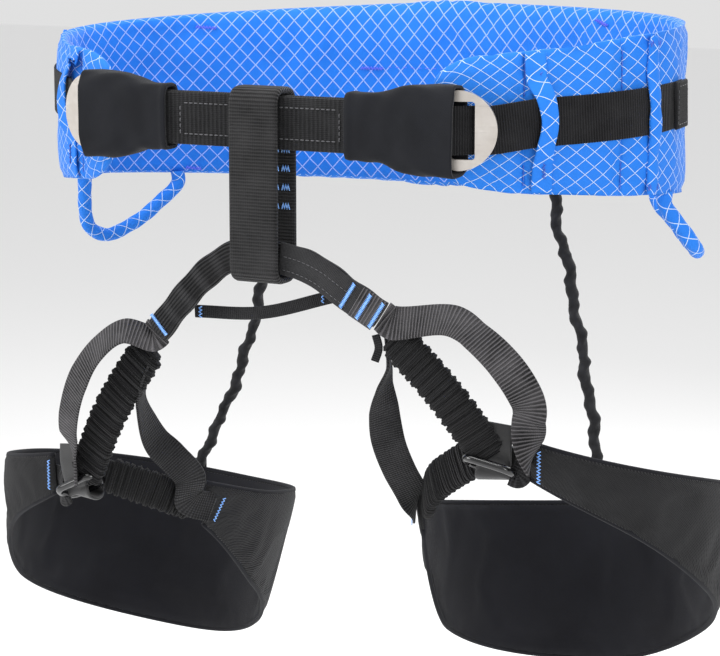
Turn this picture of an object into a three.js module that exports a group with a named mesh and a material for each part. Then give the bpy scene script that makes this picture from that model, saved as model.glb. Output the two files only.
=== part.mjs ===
// A sit harness for climbing, in the shape it takes when worn.
// Millimetres, +Z up, the wearer faces -Y and the wearer's left is +X.
// The origin is the middle of the waist, half way up the back of the belt.
import * as THREE from "three";

// ---- Driving dimensions -------------------------------------------------------------------
const GAP = 0.3; // between pieces that touch

const BELT_HALF_WIDTH = 184; // of the mid surface, side to side
const BELT_BACK_DEPTH = 105; // from the middle of the waist to the back
const BELT_FRONT_DEPTH = 108; // and to where the front ends would meet
const BELT_RISE = { back: 55, side: 45, wing: 37, tip: 35 }; // top edge above the origin
const BELT_DROP = { back: 55, side: 42, wing: 35.5, tip: 31 }; // bottom edge below it
const BELT_ROLL = 5; // the wearer's left side rides this much higher than the middle
const BELT_ANGLE = { side: 95, wing: 135, tip: 147 }; // degrees round from the middle of the back
const TIP_TURN = { left: 150, right: 144 }; // where each front end of the belt stops
const TIP_ROUND = 9; // degrees over which an end rounds off
const TIP_SHARE = 0.62; // height left at the very end
const BELT_STEPS = 52;
const LINING = 0.8; // inner face fabric
const FOAM = 4.4;
const FOAM_INSET = 1.5; // the foam stops short of the rolled edge
const LOAD_WEBBING = 1.4; // sewn in between foam and cover
const COVER = 0.8; // outer face fabric

const WAIST_WEBBING_WIDTH = 25;
const WAIST_WEBBING = 1.4; // thickness
const TAIL_END_TURN = { left: 89, right: 82 }; // how far back the loose tail reaches
const TAIL_LIFT = 9; // it climbs this much on the way
const HEM_TURN = 8.5; // degrees of the belt that the folded end of the tail covers
const HEM = 2; // thickness of the fold
const TAIL_STAND = 1.2; // between belt and tail
const KEEPER = { front: 130, stand: 1.6, width: 11, cloth: 0.9 }; // two bands hold each tail
const SIDE_KEEPER = { left: 103, right: 96 }; // degrees round from the middle of the back

const BRIDGE_Y = -110;
const BRIDGE_Z = 2;
const BRIDGE_HEIGHT = 28.8;
const BRIDGE_CORE = 5.2; // thickness of the load webbing
const BRIDGE_COVER = 1; // box-stitched strip on its front
const BRIDGE_FREE = 36; // half length that rolls with the belay loop
const BUCKLE_BAR_X = 98; // bar that the bridge is sewn round

const PLATE = 3; // thickness of the steel
const SLOT_HALF = Math.max(BRIDGE_HEIGHT, WAIST_WEBBING_WIDTH) / 2 + GAP; // of both slots
const PLATE_YAW = 20; // degrees, so that it lies along the belt
const PLATE_RADIUS = SLOT_HALF + 5.8;
const PLATE_CENTRE = 14; // from the bar to the middle of the round end
const BAR_HALF = 2;
const TAIL_SLOT = { from: 11, to: 23 };

const SLEEVE = { from: 52, to: 114, wall: 0.07 }; // the wall is a share of the depth
const SLEEVE_NARROW = { height: BRIDGE_HEIGHT + 6.2, depth: BRIDGE_CORE + 9.8 };
const SLEEVE_WIDE = { height: 2.3 * PLATE_RADIUS, depth: 20 };
const SLEEVE_SHIFT = 1; // the mouth sits this much nearer the belt

const LOOP_WIDTH = 29; // belay loop webbing
const LOOP_WEBBING = 3.6;
const LOOP_INSIDE_DEPTH = 16;
const LOOP_BOTTOM = -79.4; // inside face
const LOOP_CORNER = 5; // inside radius

const ARCH_WIDTH = 16;
const ARCH_WEBBING = 4.4;
const ARCH_FACING = 1;
const ARCH_Z = -69.4; // middle of the arch where the belay loop holds it

const STRAP_WIDTH = 18; // leg webbing
const STRAP = 1.5;
const GATHER = { width: 21, depth: 8 }; // gathered elastic
const RING = { inside: 22, rod: 3.6, depth: 11 };

// Degrees round the thigh from straight out, where the heights of a leg's padding are given.
const PAD_ANGLE = { front: -82, frontSide: -44, side: -5, sideBack: 45, back: 98, inside: 178 };
const PAD_LEAN = 7; // degrees: the loop narrows towards the knee
const PAD_SKIN = 0.8;
const PAD_CORE = 2.4;
const PAD_GAP = 0.5;

const RISER = { width: 8, depth: 6, below: 6, behind: 1.8 }; // where it leaves the belt
const HINGE_GAP = 5; // clear length of a soft hinge: gear loop ends, riser ends
const SEWN_GAP = 7.6; // clear length where a leg hangs from the arch
const GEAR_LOOP = { radius: 4, sag: 36, from: 92, to: 58 };

// Each leg loop hangs at its own height, as on a standing wearer with one hip dropped.
const LEGS = [
  {
    name: "left",
    side: 1,
    archEnd: new THREE.Vector3(68, -106, -96),
    thigh: 133,
    radius: 87,
    top: { front: -160, side: -189, back: -231, inside: -222, end: -195 },
    height: { front: 20, frontSide: 36, side: 59, sideBack: 80, back: 92, inside: 73, end: 32 },
    padEnd: 208, // degrees, where its inner end is
    padTilt: 0,
    ringRoll: -6,
    bow: { out: 34, up: 25 }, // how far the outer webbing stands off
    // The twisted inner webbing: [share of its way down, and then its offsets].
    inner: [
      [0.25, -4, -6, -2],
      [0.6, -9, -6, -3],
    ],
    riserBeltTurn: 24.4,
    riserTurn: 102,
    riserSlack: 0,
    gearSplay: 36,
  },
  {
    name: "right",
    side: -1,
    archEnd: new THREE.Vector3(68, -106, -115),
    thigh: 142,
    radius: 85,
    top: { front: -198, side: -219, back: -243, inside: -228, end: -213 },
    height: { front: 22, frontSide: 42, side: 80, sideBack: 101, back: 97, inside: 60, end: 26 },
    padEnd: 216,
    padTilt: 9,
    ringRoll: 24,
    bow: { out: -3, up: 12 },
    inner: [
      [0.3, 26, 1, -2],
      [0.62, 23, -9, -3],
    ],
    riserBeltTurn: 34.8,
    riserTurn: 76,
    riserSlack: -8,
    gearSplay: 12,
  },
];

// ---- Materials ----------------------------------------------------------------------------
const cloth = (color, roughness = 0.9) => new THREE.MeshStandardMaterial({ color, roughness });
const RIPSTOP = cloth(0x2a84ee, 0.75);
const RIPSTOP_DARK = cloth(0x1d6fd8, 0.8);
const BLACK_WEBBING = cloth(0x1b1b1e, 0.85);
const GREY_WEBBING = cloth(0x47474b, 0.85);
const NEOPRENE = cloth(0x1f2025, 0.95);
const TWILL = cloth(0x454548, 0.9);
const LINING_CLOTH = cloth(0x25252f, 0.95);
const FOAM_GREY = cloth(0x55565a, 1);
const GLOSS_BLACK = new THREE.MeshStandardMaterial({ color: 0x0b0b0c, roughness: 0.2 });
const STEEL = new THREE.MeshStandardMaterial({ color: 0xb9b2aa, roughness: 0.32, metalness: 1 });

// ---- Geometry helpers ---------------------------------------------------------------------
const UP = new THREE.Vector3(0, 0, 1);
const radians = THREE.MathUtils.degToRad;
const mix = THREE.MathUtils.lerp;
const flip = (v, side) => new THREE.Vector3(v.x * side, v.y, v.z);

// A smooth value through [position, value] pairs.
function through(pairs) {
  const slope = (i) => {
    const a = pairs[Math.max(i - 1, 0)];
    const b = pairs[Math.min(i + 1, pairs.length - 1)];
    return (b[1] - a[1]) / (b[0] - a[0]);
  };
  return (x) => {
    let i = 0;
    while (i < pairs.length - 2 && x > pairs[i + 1][0]) i += 1;
    const [x0, y0] = pairs[i];
    const [x1, y1] = pairs[i + 1];
    const span = x1 - x0;
    const t = THREE.MathUtils.clamp((x - x0) / span, 0, 1);
    const bend = slope(i) * span * t * (1 - t) ** 2 - slope(i + 1) * span * t * t * (1 - t);
    return mix(y0, y1, t * t * (3 - 2 * t)) + bend;
  };
}

// A flat strip bent along `at(u)`, u from 0 to 1. `across(u)` points from its lower edge to its
// upper edge, `width(u)` apart, and it fills the offsets `from` to `to` along its face normal.
function strip({ at, across, width, from, to, steps }) {
  const box = new THREE.BoxGeometry(1, 1, 1, steps, 1, 1);
  box.deleteAttribute("normal");
  box.deleteAttribute("uv");
  const corner = box.getAttribute("position");
  const small = 1e-3;
  for (let i = 0; i < corner.count; i += 1) {
    const u = corner.getX(i) + 0.5;
    const ahead = at(Math.min(u + small, 1)).sub(at(Math.max(u - small, 0)));
    const edge = across(u).clone().normalize();
    const normal = ahead.cross(edge).normalize();
    const point = at(u).addScaledVector(edge, corner.getY(i) * width(u));
    point.addScaledVector(normal, mix(from, to, corner.getZ(i) + 0.5));
    corner.setXYZ(i, point.x, point.y, point.z);
  }
  return box;
}

// A strap through a few points, its upper edge turned towards each of `edges` in turn.
function strap({ points, edges, width, from, to, steps }) {
  const curve = new THREE.CatmullRomCurve3(points);
  const across = (u) => {
    const place = u * (edges.length - 1);
    const i = Math.min(Math.floor(place), edges.length - 2);
    const edge = edges[i].clone().lerp(edges[i + 1], place - i);
    const along = curve.getTangent(u);
    return edge.addScaledVector(along, -edge.dot(along));
  };
  return strip({ at: (u) => curve.getPoint(u), across, width: () => width, from, to, steps });
}

function roundedRectangle(path, left, bottom, right, top, radius) {
  path.moveTo(left + radius, bottom);
  path.lineTo(right - radius, bottom);
  path.absarc(right - radius, bottom + radius, radius, -Math.PI / 2, 0);
  path.lineTo(right, top - radius);
  path.absarc(right - radius, top - radius, radius, 0, Math.PI / 2);
  path.lineTo(left + radius, top);
  path.absarc(left + radius, top - radius, radius, Math.PI / 2, Math.PI);
  path.lineTo(left, bottom + radius);
  path.absarc(left + radius, bottom + radius, radius, Math.PI, 1.5 * Math.PI);
  return path;
}

const harness = new THREE.Group();
function piece(name, geometry, material) {
  const mesh = new THREE.Mesh(geometry, material);
  mesh.name = name;
  harness.add(mesh);
  return mesh;
}

// ---- Waist belt ---------------------------------------------------------------------------
const beltTurns = (levels) => [
  [0, levels.back],
  [BELT_ANGLE.side, levels.side],
  [BELT_ANGLE.wing, levels.wing],
  [BELT_ANGLE.tip, levels.tip],
];
const rise = through(beltTurns(BELT_RISE));
const drop = through(beltTurns(BELT_DROP));
const roll = (turn) => BELT_ROLL * Math.sin(radians(turn));
const beltTop = (turn) => roll(turn) + rise(Math.abs(turn));
const beltBottom = (turn) => roll(turn) - drop(Math.abs(turn));

// Point on the belt's mid surface, `turn` degrees from the back towards the wearer's left.
function onBelt(turn, z = 0) {
  const angle = radians(90 - turn);
  return new THREE.Vector3(BELT_HALF_WIDTH * Math.cos(angle), depthAt(turn) * Math.sin(angle), z);
}
function depthAt(turn) {
  return Math.abs(turn) > 90 ? BELT_FRONT_DEPTH : BELT_BACK_DEPTH;
}
function beltNormal(turn) {
  const p = onBelt(turn);
  return new THREE.Vector3(p.x / BELT_HALF_WIDTH ** 2, p.y / depthAt(turn) ** 2, 0).normalize();
}
function tipShare(turn) {
  const end = turn > 0 ? TIP_TURN.left : TIP_TURN.right;
  const left = THREE.MathUtils.clamp((end - Math.abs(turn)) / TIP_ROUND, 0, 1);
  return mix(TIP_SHARE, 1, Math.sqrt(1 - (1 - left) ** 2));
}
// A layer of the belt between two offsets from its mid surface.
function beltLayer({ from, to, start, end, inset = 0, height = null }) {
  const turn = (u) => mix(start, end, u);
  const top = (u) => beltTop(turn(u)) * tipShare(turn(u)) - inset;
  const bottom = (u) => beltBottom(turn(u)) * tipShare(turn(u)) + inset;
  const middle = (u) => (height ? BRIDGE_Z : (top(u) + bottom(u)) / 2);
  return strip({
    at: (u) => onBelt(turn(u), middle(u)),
    across: () => UP,
    width: (u) => height || top(u) - bottom(u),
    from,
    to,
    steps: BELT_STEPS,
  });
}
const whole = { start: TIP_TURN.left, end: -TIP_TURN.right };
const foamInside = -FOAM / 2;
const webbingInside = FOAM / 2 + GAP;
const coverInside = webbingInside + LOAD_WEBBING + GAP;
const beltOutside = coverInside + COVER;
const liningOutside = foamInside - GAP;
piece(
  "waist_inner_lining",
  beltLayer({ ...whole, from: liningOutside - LINING, to: liningOutside }),
  RIPSTOP_DARK,
);
piece(
  "waist_foam_core",
  beltLayer({ ...whole, from: foamInside, to: FOAM / 2, inset: FOAM_INSET }),
  FOAM_GREY,
);
piece(
  "waist_load_webbing",
  beltLayer({
    start: TIP_TURN.left - 2,
    end: 2 - TIP_TURN.right,
    from: webbingInside,
    to: webbingInside + LOAD_WEBBING,
    height: WAIST_WEBBING_WIDTH,
  }),
  BLACK_WEBBING,
);
piece(
  "waist_outer_cover",
  beltLayer({ ...whole, from: coverInside, to: beltOutside }),
  RIPSTOP,
);

// ---- Buckles, webbing tails and keepers ---------------------------------------------------
// A place on a buckle's plate: `along` from the bar, `out` from the middle of its thickness.
function onPlate(side, along, out, z = BRIDGE_Z) {
  const yaw = radians(PLATE_YAW);
  const x = BUCKLE_BAR_X + along * Math.cos(yaw) + out * Math.sin(yaw);
  const y = BRIDGE_Y + along * Math.sin(yaw) - out * Math.cos(yaw);
  return new THREE.Vector3(side * x, y, z);
}
function buckle(name, side) {
  const reach = PLATE_RADIUS * 0.86;
  const shape = new THREE.Shape();
  shape.moveTo(-BAR_HALF, -reach + 3);
  shape.lineTo(1, -reach);
  shape.absarc(PLATE_CENTRE, 0, PLATE_RADIUS, -Math.PI / 2, Math.PI / 2);
  shape.lineTo(1, reach);
  shape.lineTo(-BAR_HALF, reach - 3);
  const half = SLOT_HALF;
  const nearSlot = new THREE.Path();
  roundedRectangle(nearSlot, BAR_HALF, -half, BAR_HALF + 5, half, 1);
  const tailSlot = new THREE.Path();
  roundedRectangle(tailSlot, TAIL_SLOT.from, -half, TAIL_SLOT.to, half, 1.5);
  shape.holes.push(nearSlot, tailSlot);
  const plate = new THREE.ExtrudeGeometry(shape, {
    depth: PLATE,
    bevelEnabled: false,
    curveSegments: 24,
  });
  plate.translate(0, 0, -PLATE / 2);
  plate.rotateX(Math.PI / 2);
  const mesh = piece(name, plate, STEEL);
  mesh.position.set(side * BUCKLE_BAR_X, BRIDGE_Y, BRIDGE_Z);
  mesh.rotation.z = side > 0 ? radians(PLATE_YAW) : Math.PI - radians(PLATE_YAW);
}

// The tail runs over the plate's inner bar, through the slot, behind the round end and back
// along the outside of the belt, where the keepers hold it.
const tailInside = beltOutside + TAIL_STAND;
function tailPoint(side, turn, out) {
  const lift = mix(0, TAIL_LIFT, (TIP_TURN.left - turn) / (TIP_TURN.left - TAIL_END_TURN.left));
  const p = onBelt(side * turn, BRIDGE_Z + lift);
  return p.addScaledVector(beltNormal(side * turn), out);
}
function tail(name, side, endTurn) {
  const middle = tailInside + WAIST_WEBBING / 2;
  const points = [
    onPlate(side, 7, 3.2),
    onPlate(side, 11, 2.7),
    onPlate(side, 17, 0),
    onPlate(side, 23, -3),
    onPlate(side, 31, -3.6),
  ];
  points.push(tailPoint(side, KEEPER.front + 1, middle + KEEPER.stand));
  for (let turn = KEEPER.front - 8; turn > endTurn + 4; turn -= 8) {
    points.push(tailPoint(side, turn, middle));
  }
  points.push(tailPoint(side, endTurn, middle));
  const half = WAIST_WEBBING / 2;
  const edges = [UP.clone(), UP.clone()];
  const width = WAIST_WEBBING_WIDTH;
  piece(name, strap({ points, edges, width, from: -half, to: half, steps: 40 }), BLACK_WEBBING);
  const hemOut = middle + half + GAP + HEM / 2;
  const hem = (u) => tailPoint(side, endTurn + HEM_TURN * u, hemOut);
  const geometry = strip({
    at: side > 0 ? hem : (u) => hem(1 - u),
    across: () => UP,
    width: () => width,
    from: -HEM / 2,
    to: HEM / 2,
    steps: 4,
  });
  piece(name + "_hem", geometry, BLACK_WEBBING);
}

// A keeper is a band of cloth, sewn down above and below the tail and standing off over it.
function keeper(name, turn, stand) {
  const low = beltBottom(turn) + 1.5;
  const high = beltTop(turn) - 1.5;
  const normal = beltNormal(turn);
  const flat = beltOutside + 2 * GAP + KEEPER.cloth / 2;
  const over = tailInside + WAIST_WEBBING + GAP + KEEPER.cloth / 2 + 0.3 + stand;
  const middle = tailPoint(Math.sign(turn), Math.abs(turn), 0).z;
  const clear = WAIST_WEBBING_WIDTH / 2;
  const heights = [low, middle - clear - 9, middle - clear - 1, middle, middle + clear + 1];
  heights.push(middle + clear + 9, high);
  const outs = [flat, flat, over, over, over, flat, flat];
  const points = heights.map((z, i) => onBelt(turn, z).addScaledVector(normal, outs[i]));
  const edge = new THREE.Vector3().crossVectors(normal, UP);
  const half = KEEPER.cloth / 2;
  const sewn = { points, edges: [edge, edge], width: KEEPER.width, from: -half, to: half };
  piece(name, strap({ ...sewn, steps: 18 }), RIPSTOP);
}

for (const { name, side } of LEGS) {
  buckle(name + "_buckle", side);
  tail(name + "_webbing_tail", side, TAIL_END_TURN[name]);
  keeper(name + "_front_keeper", side * KEEPER.front, KEEPER.stand + 1);
  keeper(name + "_side_keeper", side * SIDE_KEEPER[name], 0);
}

// ---- Tie-in bridge and its sleeves --------------------------------------------------------
const coreFront = BRIDGE_Y - BRIDGE_CORE / 2;
function bridgeBox(name, from, to, near, far, height, material) {
  const box = new THREE.BoxGeometry(to - from, far - near, height);
  box.translate((from + to) / 2, (near + far) / 2, BRIDGE_Z);
  piece(name, box, material);
}
bridgeBox(
  "tie_in_bridge",
  -BRIDGE_FREE,
  BRIDGE_FREE,
  coreFront,
  coreFront + BRIDGE_CORE,
  BRIDGE_HEIGHT,
  BLACK_WEBBING,
);
bridgeBox(
  "bridge_cover",
  -BRIDGE_FREE,
  BRIDGE_FREE,
  coreFront - GAP - BRIDGE_COVER,
  coreFront - GAP,
  BRIDGE_HEIGHT - 1,
  BLACK_WEBBING,
);

// The end of the bridge is folded round the buckle's bar and sewn back on itself.
function bridgeEnd(name, side) {
  const half = BRIDGE_CORE / 2;
  const wrap = BAR_HALF + 0.8;
  const shape = new THREE.Shape();
  shape.moveTo(BRIDGE_FREE + GAP + 0.2, -half);
  shape.lineTo(BUCKLE_BAR_X - 9, -half);
  shape.lineTo(BUCKLE_BAR_X, -wrap - 1.6);
  shape.absarc(BUCKLE_BAR_X, 0, wrap + 1.4, -Math.PI / 2, Math.PI / 2);
  shape.lineTo(BUCKLE_BAR_X - 9, half);
  shape.lineTo(BRIDGE_FREE + GAP + 0.2, half);
  const eye = new THREE.Path();
  eye.absarc(BUCKLE_BAR_X, 0, wrap, 0, 2 * Math.PI);
  shape.holes.push(eye);
  const fold = new THREE.ExtrudeGeometry(shape, {
    depth: BRIDGE_HEIGHT - 0.4,
    bevelEnabled: false,
    curveSegments: 6,
  });
  fold.translate(0, 0, -(BRIDGE_HEIGHT - 0.4) / 2);
  const mesh = piece(name, fold, BLACK_WEBBING);
  mesh.position.set(0, BRIDGE_Y, BRIDGE_Z);
  if (side < 0) mesh.rotation.z = Math.PI;
}

// A knitted neoprene sleeve: a tube that widens from the bridge to the mouth over the buckle.
function reverseFaces(geometry) {
  const corner = geometry.getAttribute("position");
  const a = new THREE.Vector3();
  const b = new THREE.Vector3();
  for (let i = 0; i < corner.count; i += 3) {
    a.fromBufferAttribute(corner, i);
    b.fromBufferAttribute(corner, i + 1);
    corner.setXYZ(i, b.x, b.y, b.z);
    corner.setXYZ(i + 1, a.x, a.y, a.z);
  }
}
function sleeve(name, side) {
  const outline = (target, inset) => roundedRectangle(
    target,
    -0.5 + inset.y,
    -0.5 + inset.z,
    0.5 - inset.y,
    0.5 - inset.z,
    0.22,
  );
  const shape = outline(new THREE.Shape(), { y: 0, z: 0 });
  shape.holes.push(outline(new THREE.Path(), { y: SLEEVE.wall, z: SLEEVE.wall * 0.62 }));
  const tube = new THREE.ExtrudeGeometry(shape, {
    depth: 1,
    steps: 5,
    bevelEnabled: false,
    curveSegments: 3,
  });
  const corner = tube.getAttribute("position");
  for (let i = 0; i < corner.count; i += 1) {
    const share = corner.getZ(i);
    const swell = THREE.MathUtils.smoothstep(share, 0, 0.75);
    const deep = corner.getX(i) * mix(SLEEVE_NARROW.depth, SLEEVE_WIDE.depth, swell);
    const tall = corner.getY(i) * mix(SLEEVE_NARROW.height, SLEEVE_WIDE.height, swell);
    const x = mix(SLEEVE.from, SLEEVE.to, share);
    corner.setXYZ(i, x, BRIDGE_Y + SLEEVE_SHIFT * swell - side * deep, BRIDGE_Z + tall);
    if (side < 0) corner.setX(i, -x);
  }
  reverseFaces(tube);
  piece(name, tube, NEOPRENE);
}
for (const { name, side } of LEGS) {
  bridgeEnd(name + "_bridge_end", side);
  sleeve(name + "_sleeve", side);
}

// ---- Belay loop ---------------------------------------------------------------------------
const loopTop = BRIDGE_Z + BRIDGE_HEIGHT / 2 + 0.6;
const halfInside = LOOP_INSIDE_DEPTH / 2;
const loopOutline = (target, grow) => roundedRectangle(
  target,
  -halfInside - grow,
  LOOP_BOTTOM - grow,
  halfInside + grow,
  loopTop + grow,
  LOOP_CORNER + grow,
);
const loopShape = loopOutline(new THREE.Shape(), LOOP_WEBBING);
loopShape.holes.push(loopOutline(new THREE.Path(), 0));
const loopSolid = new THREE.ExtrudeGeometry(loopShape, {
  depth: LOOP_WIDTH,
  bevelEnabled: false,
  curveSegments: 6,
});
loopSolid.rotateX(Math.PI / 2);
loopSolid.rotateZ(Math.PI / 2);
loopSolid.translate(-LOOP_WIDTH / 2, BRIDGE_Y, 0);
piece("belay_loop", loopSolid, BLACK_WEBBING);

// ---- Leg arch -----------------------------------------------------------------------------
const [leftLeg, rightLeg] = LEGS;
function archShoulder(end) {
  return new THREE.Vector3(end.x - 17, end.y - 3, mix(ARCH_Z, end.z, 0.6));
}
const archPoints = [
  flip(rightLeg.archEnd, -1),
  flip(archShoulder(rightLeg.archEnd), -1),
  new THREE.Vector3(-34, BRIDGE_Y, mix(ARCH_Z, rightLeg.archEnd.z, 0.24)),
  new THREE.Vector3(-15, BRIDGE_Y, ARCH_Z),
  new THREE.Vector3(15, BRIDGE_Y, ARCH_Z),
  new THREE.Vector3(34, BRIDGE_Y, mix(ARCH_Z, leftLeg.archEnd.z, 0.2)),
  archShoulder(leftLeg.archEnd),
  leftLeg.archEnd,
];
const archLayer = (name, from, to, width, material) => piece(
  name,
  strap({ points: archPoints, edges: [UP, UP], width, from, to, steps: 28 }),
  material,
);
archLayer("leg_arch_webbing", -ARCH_WEBBING / 2, ARCH_WEBBING / 2, ARCH_WIDTH, BLACK_WEBBING);
const facingInside = ARCH_WEBBING / 2 + GAP;
archLayer("arch_facing", facingInside, facingInside + ARCH_FACING, ARCH_WIDTH - 1, GREY_WEBBING);
archLayer(
  "arch_backing",
  -facingInside - ARCH_FACING,
  -facingInside,
  ARCH_WIDTH - 0.5,
  BLACK_WEBBING,
);
// A short strap ties the two sides of the arch together under the belay loop.
const tieY = BRIDGE_Y + ARCH_WEBBING / 2 + ARCH_FACING + 2 * GAP + 1.6;
const tiePoints = [
  new THREE.Vector3(-47, tieY + 2, mix(ARCH_Z, rightLeg.archEnd.z, 0.75)),
  new THREE.Vector3(-6, tieY + 3, mix(ARCH_Z, rightLeg.archEnd.z, 0.7)),
  new THREE.Vector3(37, tieY + 2, mix(ARCH_Z, leftLeg.archEnd.z, 0.75)),
];
piece(
  "arch_tie",
  strap({ points: tiePoints, edges: [UP, UP], width: 7, from: -0.7, to: 0.7, steps: 12 }),
  BLACK_WEBBING,
);

// ---- Leg loops ----------------------------------------------------------------------------
// One leg loop and the straps that hang it from the arch, in its own side's coordinates.
function legLoop(hang) {
  const { name, side, archEnd, thigh, radius, top, padEnd, riserTurn } = hang;
  const beltTurn = side * hang.riserBeltTurn;
  const riserTop = flip(onBelt(beltTurn, beltBottom(beltTurn) - RISER.below), side);
  riserTop.y += RISER.behind;
  const angles = PAD_ANGLE;
  const topEdge = through([
    [angles.front, top.front],
    [angles.side, top.side],
    [angles.back, top.back],
    [angles.inside, top.inside],
    [padEnd, top.end],
  ]);
  const height = through([
    ...Object.entries(angles).map(([place, angle]) => [angle, hang.height[place]]),
    [padEnd, hang.height.end],
  ]);
  const outwards = (degrees) => {
    const angle = radians(degrees);
    return new THREE.Vector3(Math.cos(angle), Math.sin(angle), 0);
  };
  const slope = (degrees) => {
    const lean = radians(PAD_LEAN - hang.padTilt * Math.cos(radians(degrees)));
    return outwards(degrees).multiplyScalar(Math.sin(lean)).addScaledVector(UP, Math.cos(lean));
  };
  // `down` is the share of the pad's height below its top edge.
  const onPad = (degrees, down, out = 0) => outwards(degrees)
    .multiplyScalar(radius + out)
    .add(new THREE.Vector3(thigh, 0, topEdge(degrees)))
    .addScaledVector(slope(degrees), -down * height(degrees));
  const place = (points) => points.map((p) => flip(p, side));
  const turnAt = (u) => mix(angles.front, padEnd, side > 0 ? u : 1 - u);

  function padLayer(part, from, to, inset, material) {
    const geometry = strip({
      at: (u) => flip(onPad(turnAt(u), 0.5), side),
      across: (u) => flip(slope(turnAt(u)), side),
      width: (u) => height(turnAt(u)) - 2 * inset,
      from,
      to,
      steps: 34,
    });
    piece(name + "_leg_" + part, geometry, material);
  }
  const half = PAD_CORE / 2;
  padLayer("pad_core", -half, half, 1, FOAM_GREY);
  padLayer("outer_cover", half + PAD_GAP, half + PAD_GAP + PAD_SKIN, 0, TWILL);
  padLayer("inner_lining", -half - PAD_GAP - PAD_SKIN, -half - PAD_GAP, 0, LINING_CLOTH);

  const leg = (part, points, edges, width, depth, steps, material) => {
    const turned = edges.map((e) => flip(e, side));
    const solid = { points: place(points), edges: turned, width, from: -depth / 2, to: depth / 2 };
    piece(name + "_leg_" + part, strap({ ...solid, steps }), material);
  };
  const between = (a, b, share, x, y, z) => a
    .clone()
    .lerp(b, share)
    .add(new THREE.Vector3(x, y, z));

  // The adjuster ring lies just in front of the pad's outer end.
  const ringCentre = onPad(angles.front, 0.5).add(new THREE.Vector3(-21, -6, -4));
  const tilt = new THREE.Euler(radians(-28), radians(hang.ringRoll), radians(12));
  const onRing = (x, y, z) => new THREE.Vector3(x, y, z).applyEuler(tilt).add(ringCentre);
  const ringShape = new THREE.Shape();
  const wide = RING.inside / 2;
  const deep = RING.depth / 2;
  const corner = RING.rod;
  roundedRectangle(ringShape, -wide - corner, -deep - corner, wide + corner, deep + corner, 6);
  const ringHole = new THREE.Path();
  roundedRectangle(ringHole, -wide, -deep, wide, deep, 2.5);
  ringShape.holes.push(ringHole);
  const ringSolid = new THREE.ExtrudeGeometry(ringShape, {
    depth: RING.rod,
    bevelEnabled: false,
    curveSegments: 4,
  });
  ringSolid.translate(0, 0, -RING.rod / 2);
  const ring = piece(name + "_leg_adjuster_ring", ringSolid, GLOSS_BLACK);
  ring.position.copy(flip(ringCentre, side));
  ring.rotation.set(tilt.x, side * tilt.y, side * tilt.z);

  const back = new THREE.Vector3(0, 1, 0);
  const inPlane = new THREE.Vector3(0.6, 0, 0.8);
  // Outer webbing: from the arch up and out in a bow, and down to the ring.
  const archRun = archEnd.clone().sub(archShoulder(archEnd)).normalize();
  const archEdge = new THREE.Vector3(-archRun.z, 0, archRun.x);
  const strapStart = archEnd.clone().addScaledVector(archRun, SEWN_GAP);
  const strapEnd = ringCentre.clone().add(new THREE.Vector3(13, -4, 13));
  leg(
    "outer_webbing",
    [
      strapStart,
      ...[[0.1, 0.5], [0.32, 0.95], [0.62, 1], [0.86, 0.7]].map(([share, bulge]) => between(
        strapStart,
        strapEnd,
        share,
        bulge * hang.bow.out,
        bulge * -14,
        bulge * hang.bow.up,
      )),
      strapEnd,
    ],
    [
      archEdge,
      new THREE.Vector3(0.1, 0.85, 0.45),
      new THREE.Vector3(0.5, 0.3, 0.75),
      new THREE.Vector3(0.9, 0, 0.45),
      new THREE.Vector3(0.95, 0.25, 0.1),
      new THREE.Vector3(0.7, 0.7, 0),
    ],
    STRAP_WIDTH,
    STRAP,
    20,
    GREY_WEBBING,
  );
  // Gathered elastic under it, with a smooth tab that folds round the ring.
  const gatherStart = archEnd.clone().add(new THREE.Vector3(6, 3.5, -ARCH_WIDTH / 2 - 6.9));
  const gatherEnd = onRing(-9, 0, 0).add(new THREE.Vector3(6, 0, 14));
  leg(
    "upper_elastic",
    [gatherStart, between(gatherStart, gatherEnd, 0.5, 3, -2, 1), gatherEnd],
    [inPlane, inPlane],
    GATHER.width,
    GATHER.depth,
    10,
    BLACK_WEBBING,
  );
  const tabStart = gatherEnd.clone().add(new THREE.Vector3(1.5, -0.5, -4.6));
  leg(
    "ring_tab",
    [tabStart, ringCentre.clone().add(new THREE.Vector3(1, -1, 6))],
    [inPlane, inPlane],
    STRAP_WIDTH - 1,
    3.2,
    3,
    BLACK_WEBBING,
  );
  // Gathered elastic across the front, from the ring to the pad's inner end.
  const crossEnd = onPad(padEnd, 0.5, -3).add(new THREE.Vector3(2.5, -5, 0));
  const crossStart = onRing(-15, 10.5, 2);
  leg(
    "lower_elastic",
    [crossStart, between(crossStart, crossEnd, 0.55, -4, -5, 1), crossEnd],
    [UP, UP],
    GATHER.width,
    GATHER.depth,
    10,
    BLACK_WEBBING,
  );
  // Twisted webbing from the arch down to the pad's inner end.
  const innerStart = archEnd.clone().add(new THREE.Vector3(-4, 10, -10));
  const innerEnd = onPad(padEnd - 3, 0.45, 6.2);
  leg(
    "inner_webbing",
    [
      innerStart,
      ...hang.inner.map(([share, x, y, z]) => between(innerStart, innerEnd, share, x, y, z)),
      onPad(padEnd + 9, 0.3, 7),
      innerEnd,
    ],
    [
      new THREE.Vector3(1, 0.2, 0),
      new THREE.Vector3(0.2, 1, 0),
      new THREE.Vector3(-0.6, 0.8, 0),
      new THREE.Vector3(-0.5, 0.5, 0.8),
      UP,
    ],
    STRAP_WIDTH,
    STRAP,
    18,
    BLACK_WEBBING,
  );
  // A short loop of webbing joins the pad's outer end to the ring.
  leg(
    "pad_end_loop",
    [
      ringCentre.clone().add(new THREE.Vector3(wide + corner + 1.9, -2, 1)),
      onPad(angles.front - 1, 0.5, 5.2),
      onPad(angles.front + 10, 0.45, 5),
    ],
    [UP, UP],
    STRAP_WIDTH - 2,
    STRAP,
    6,
    BLACK_WEBBING,
  );

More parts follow.
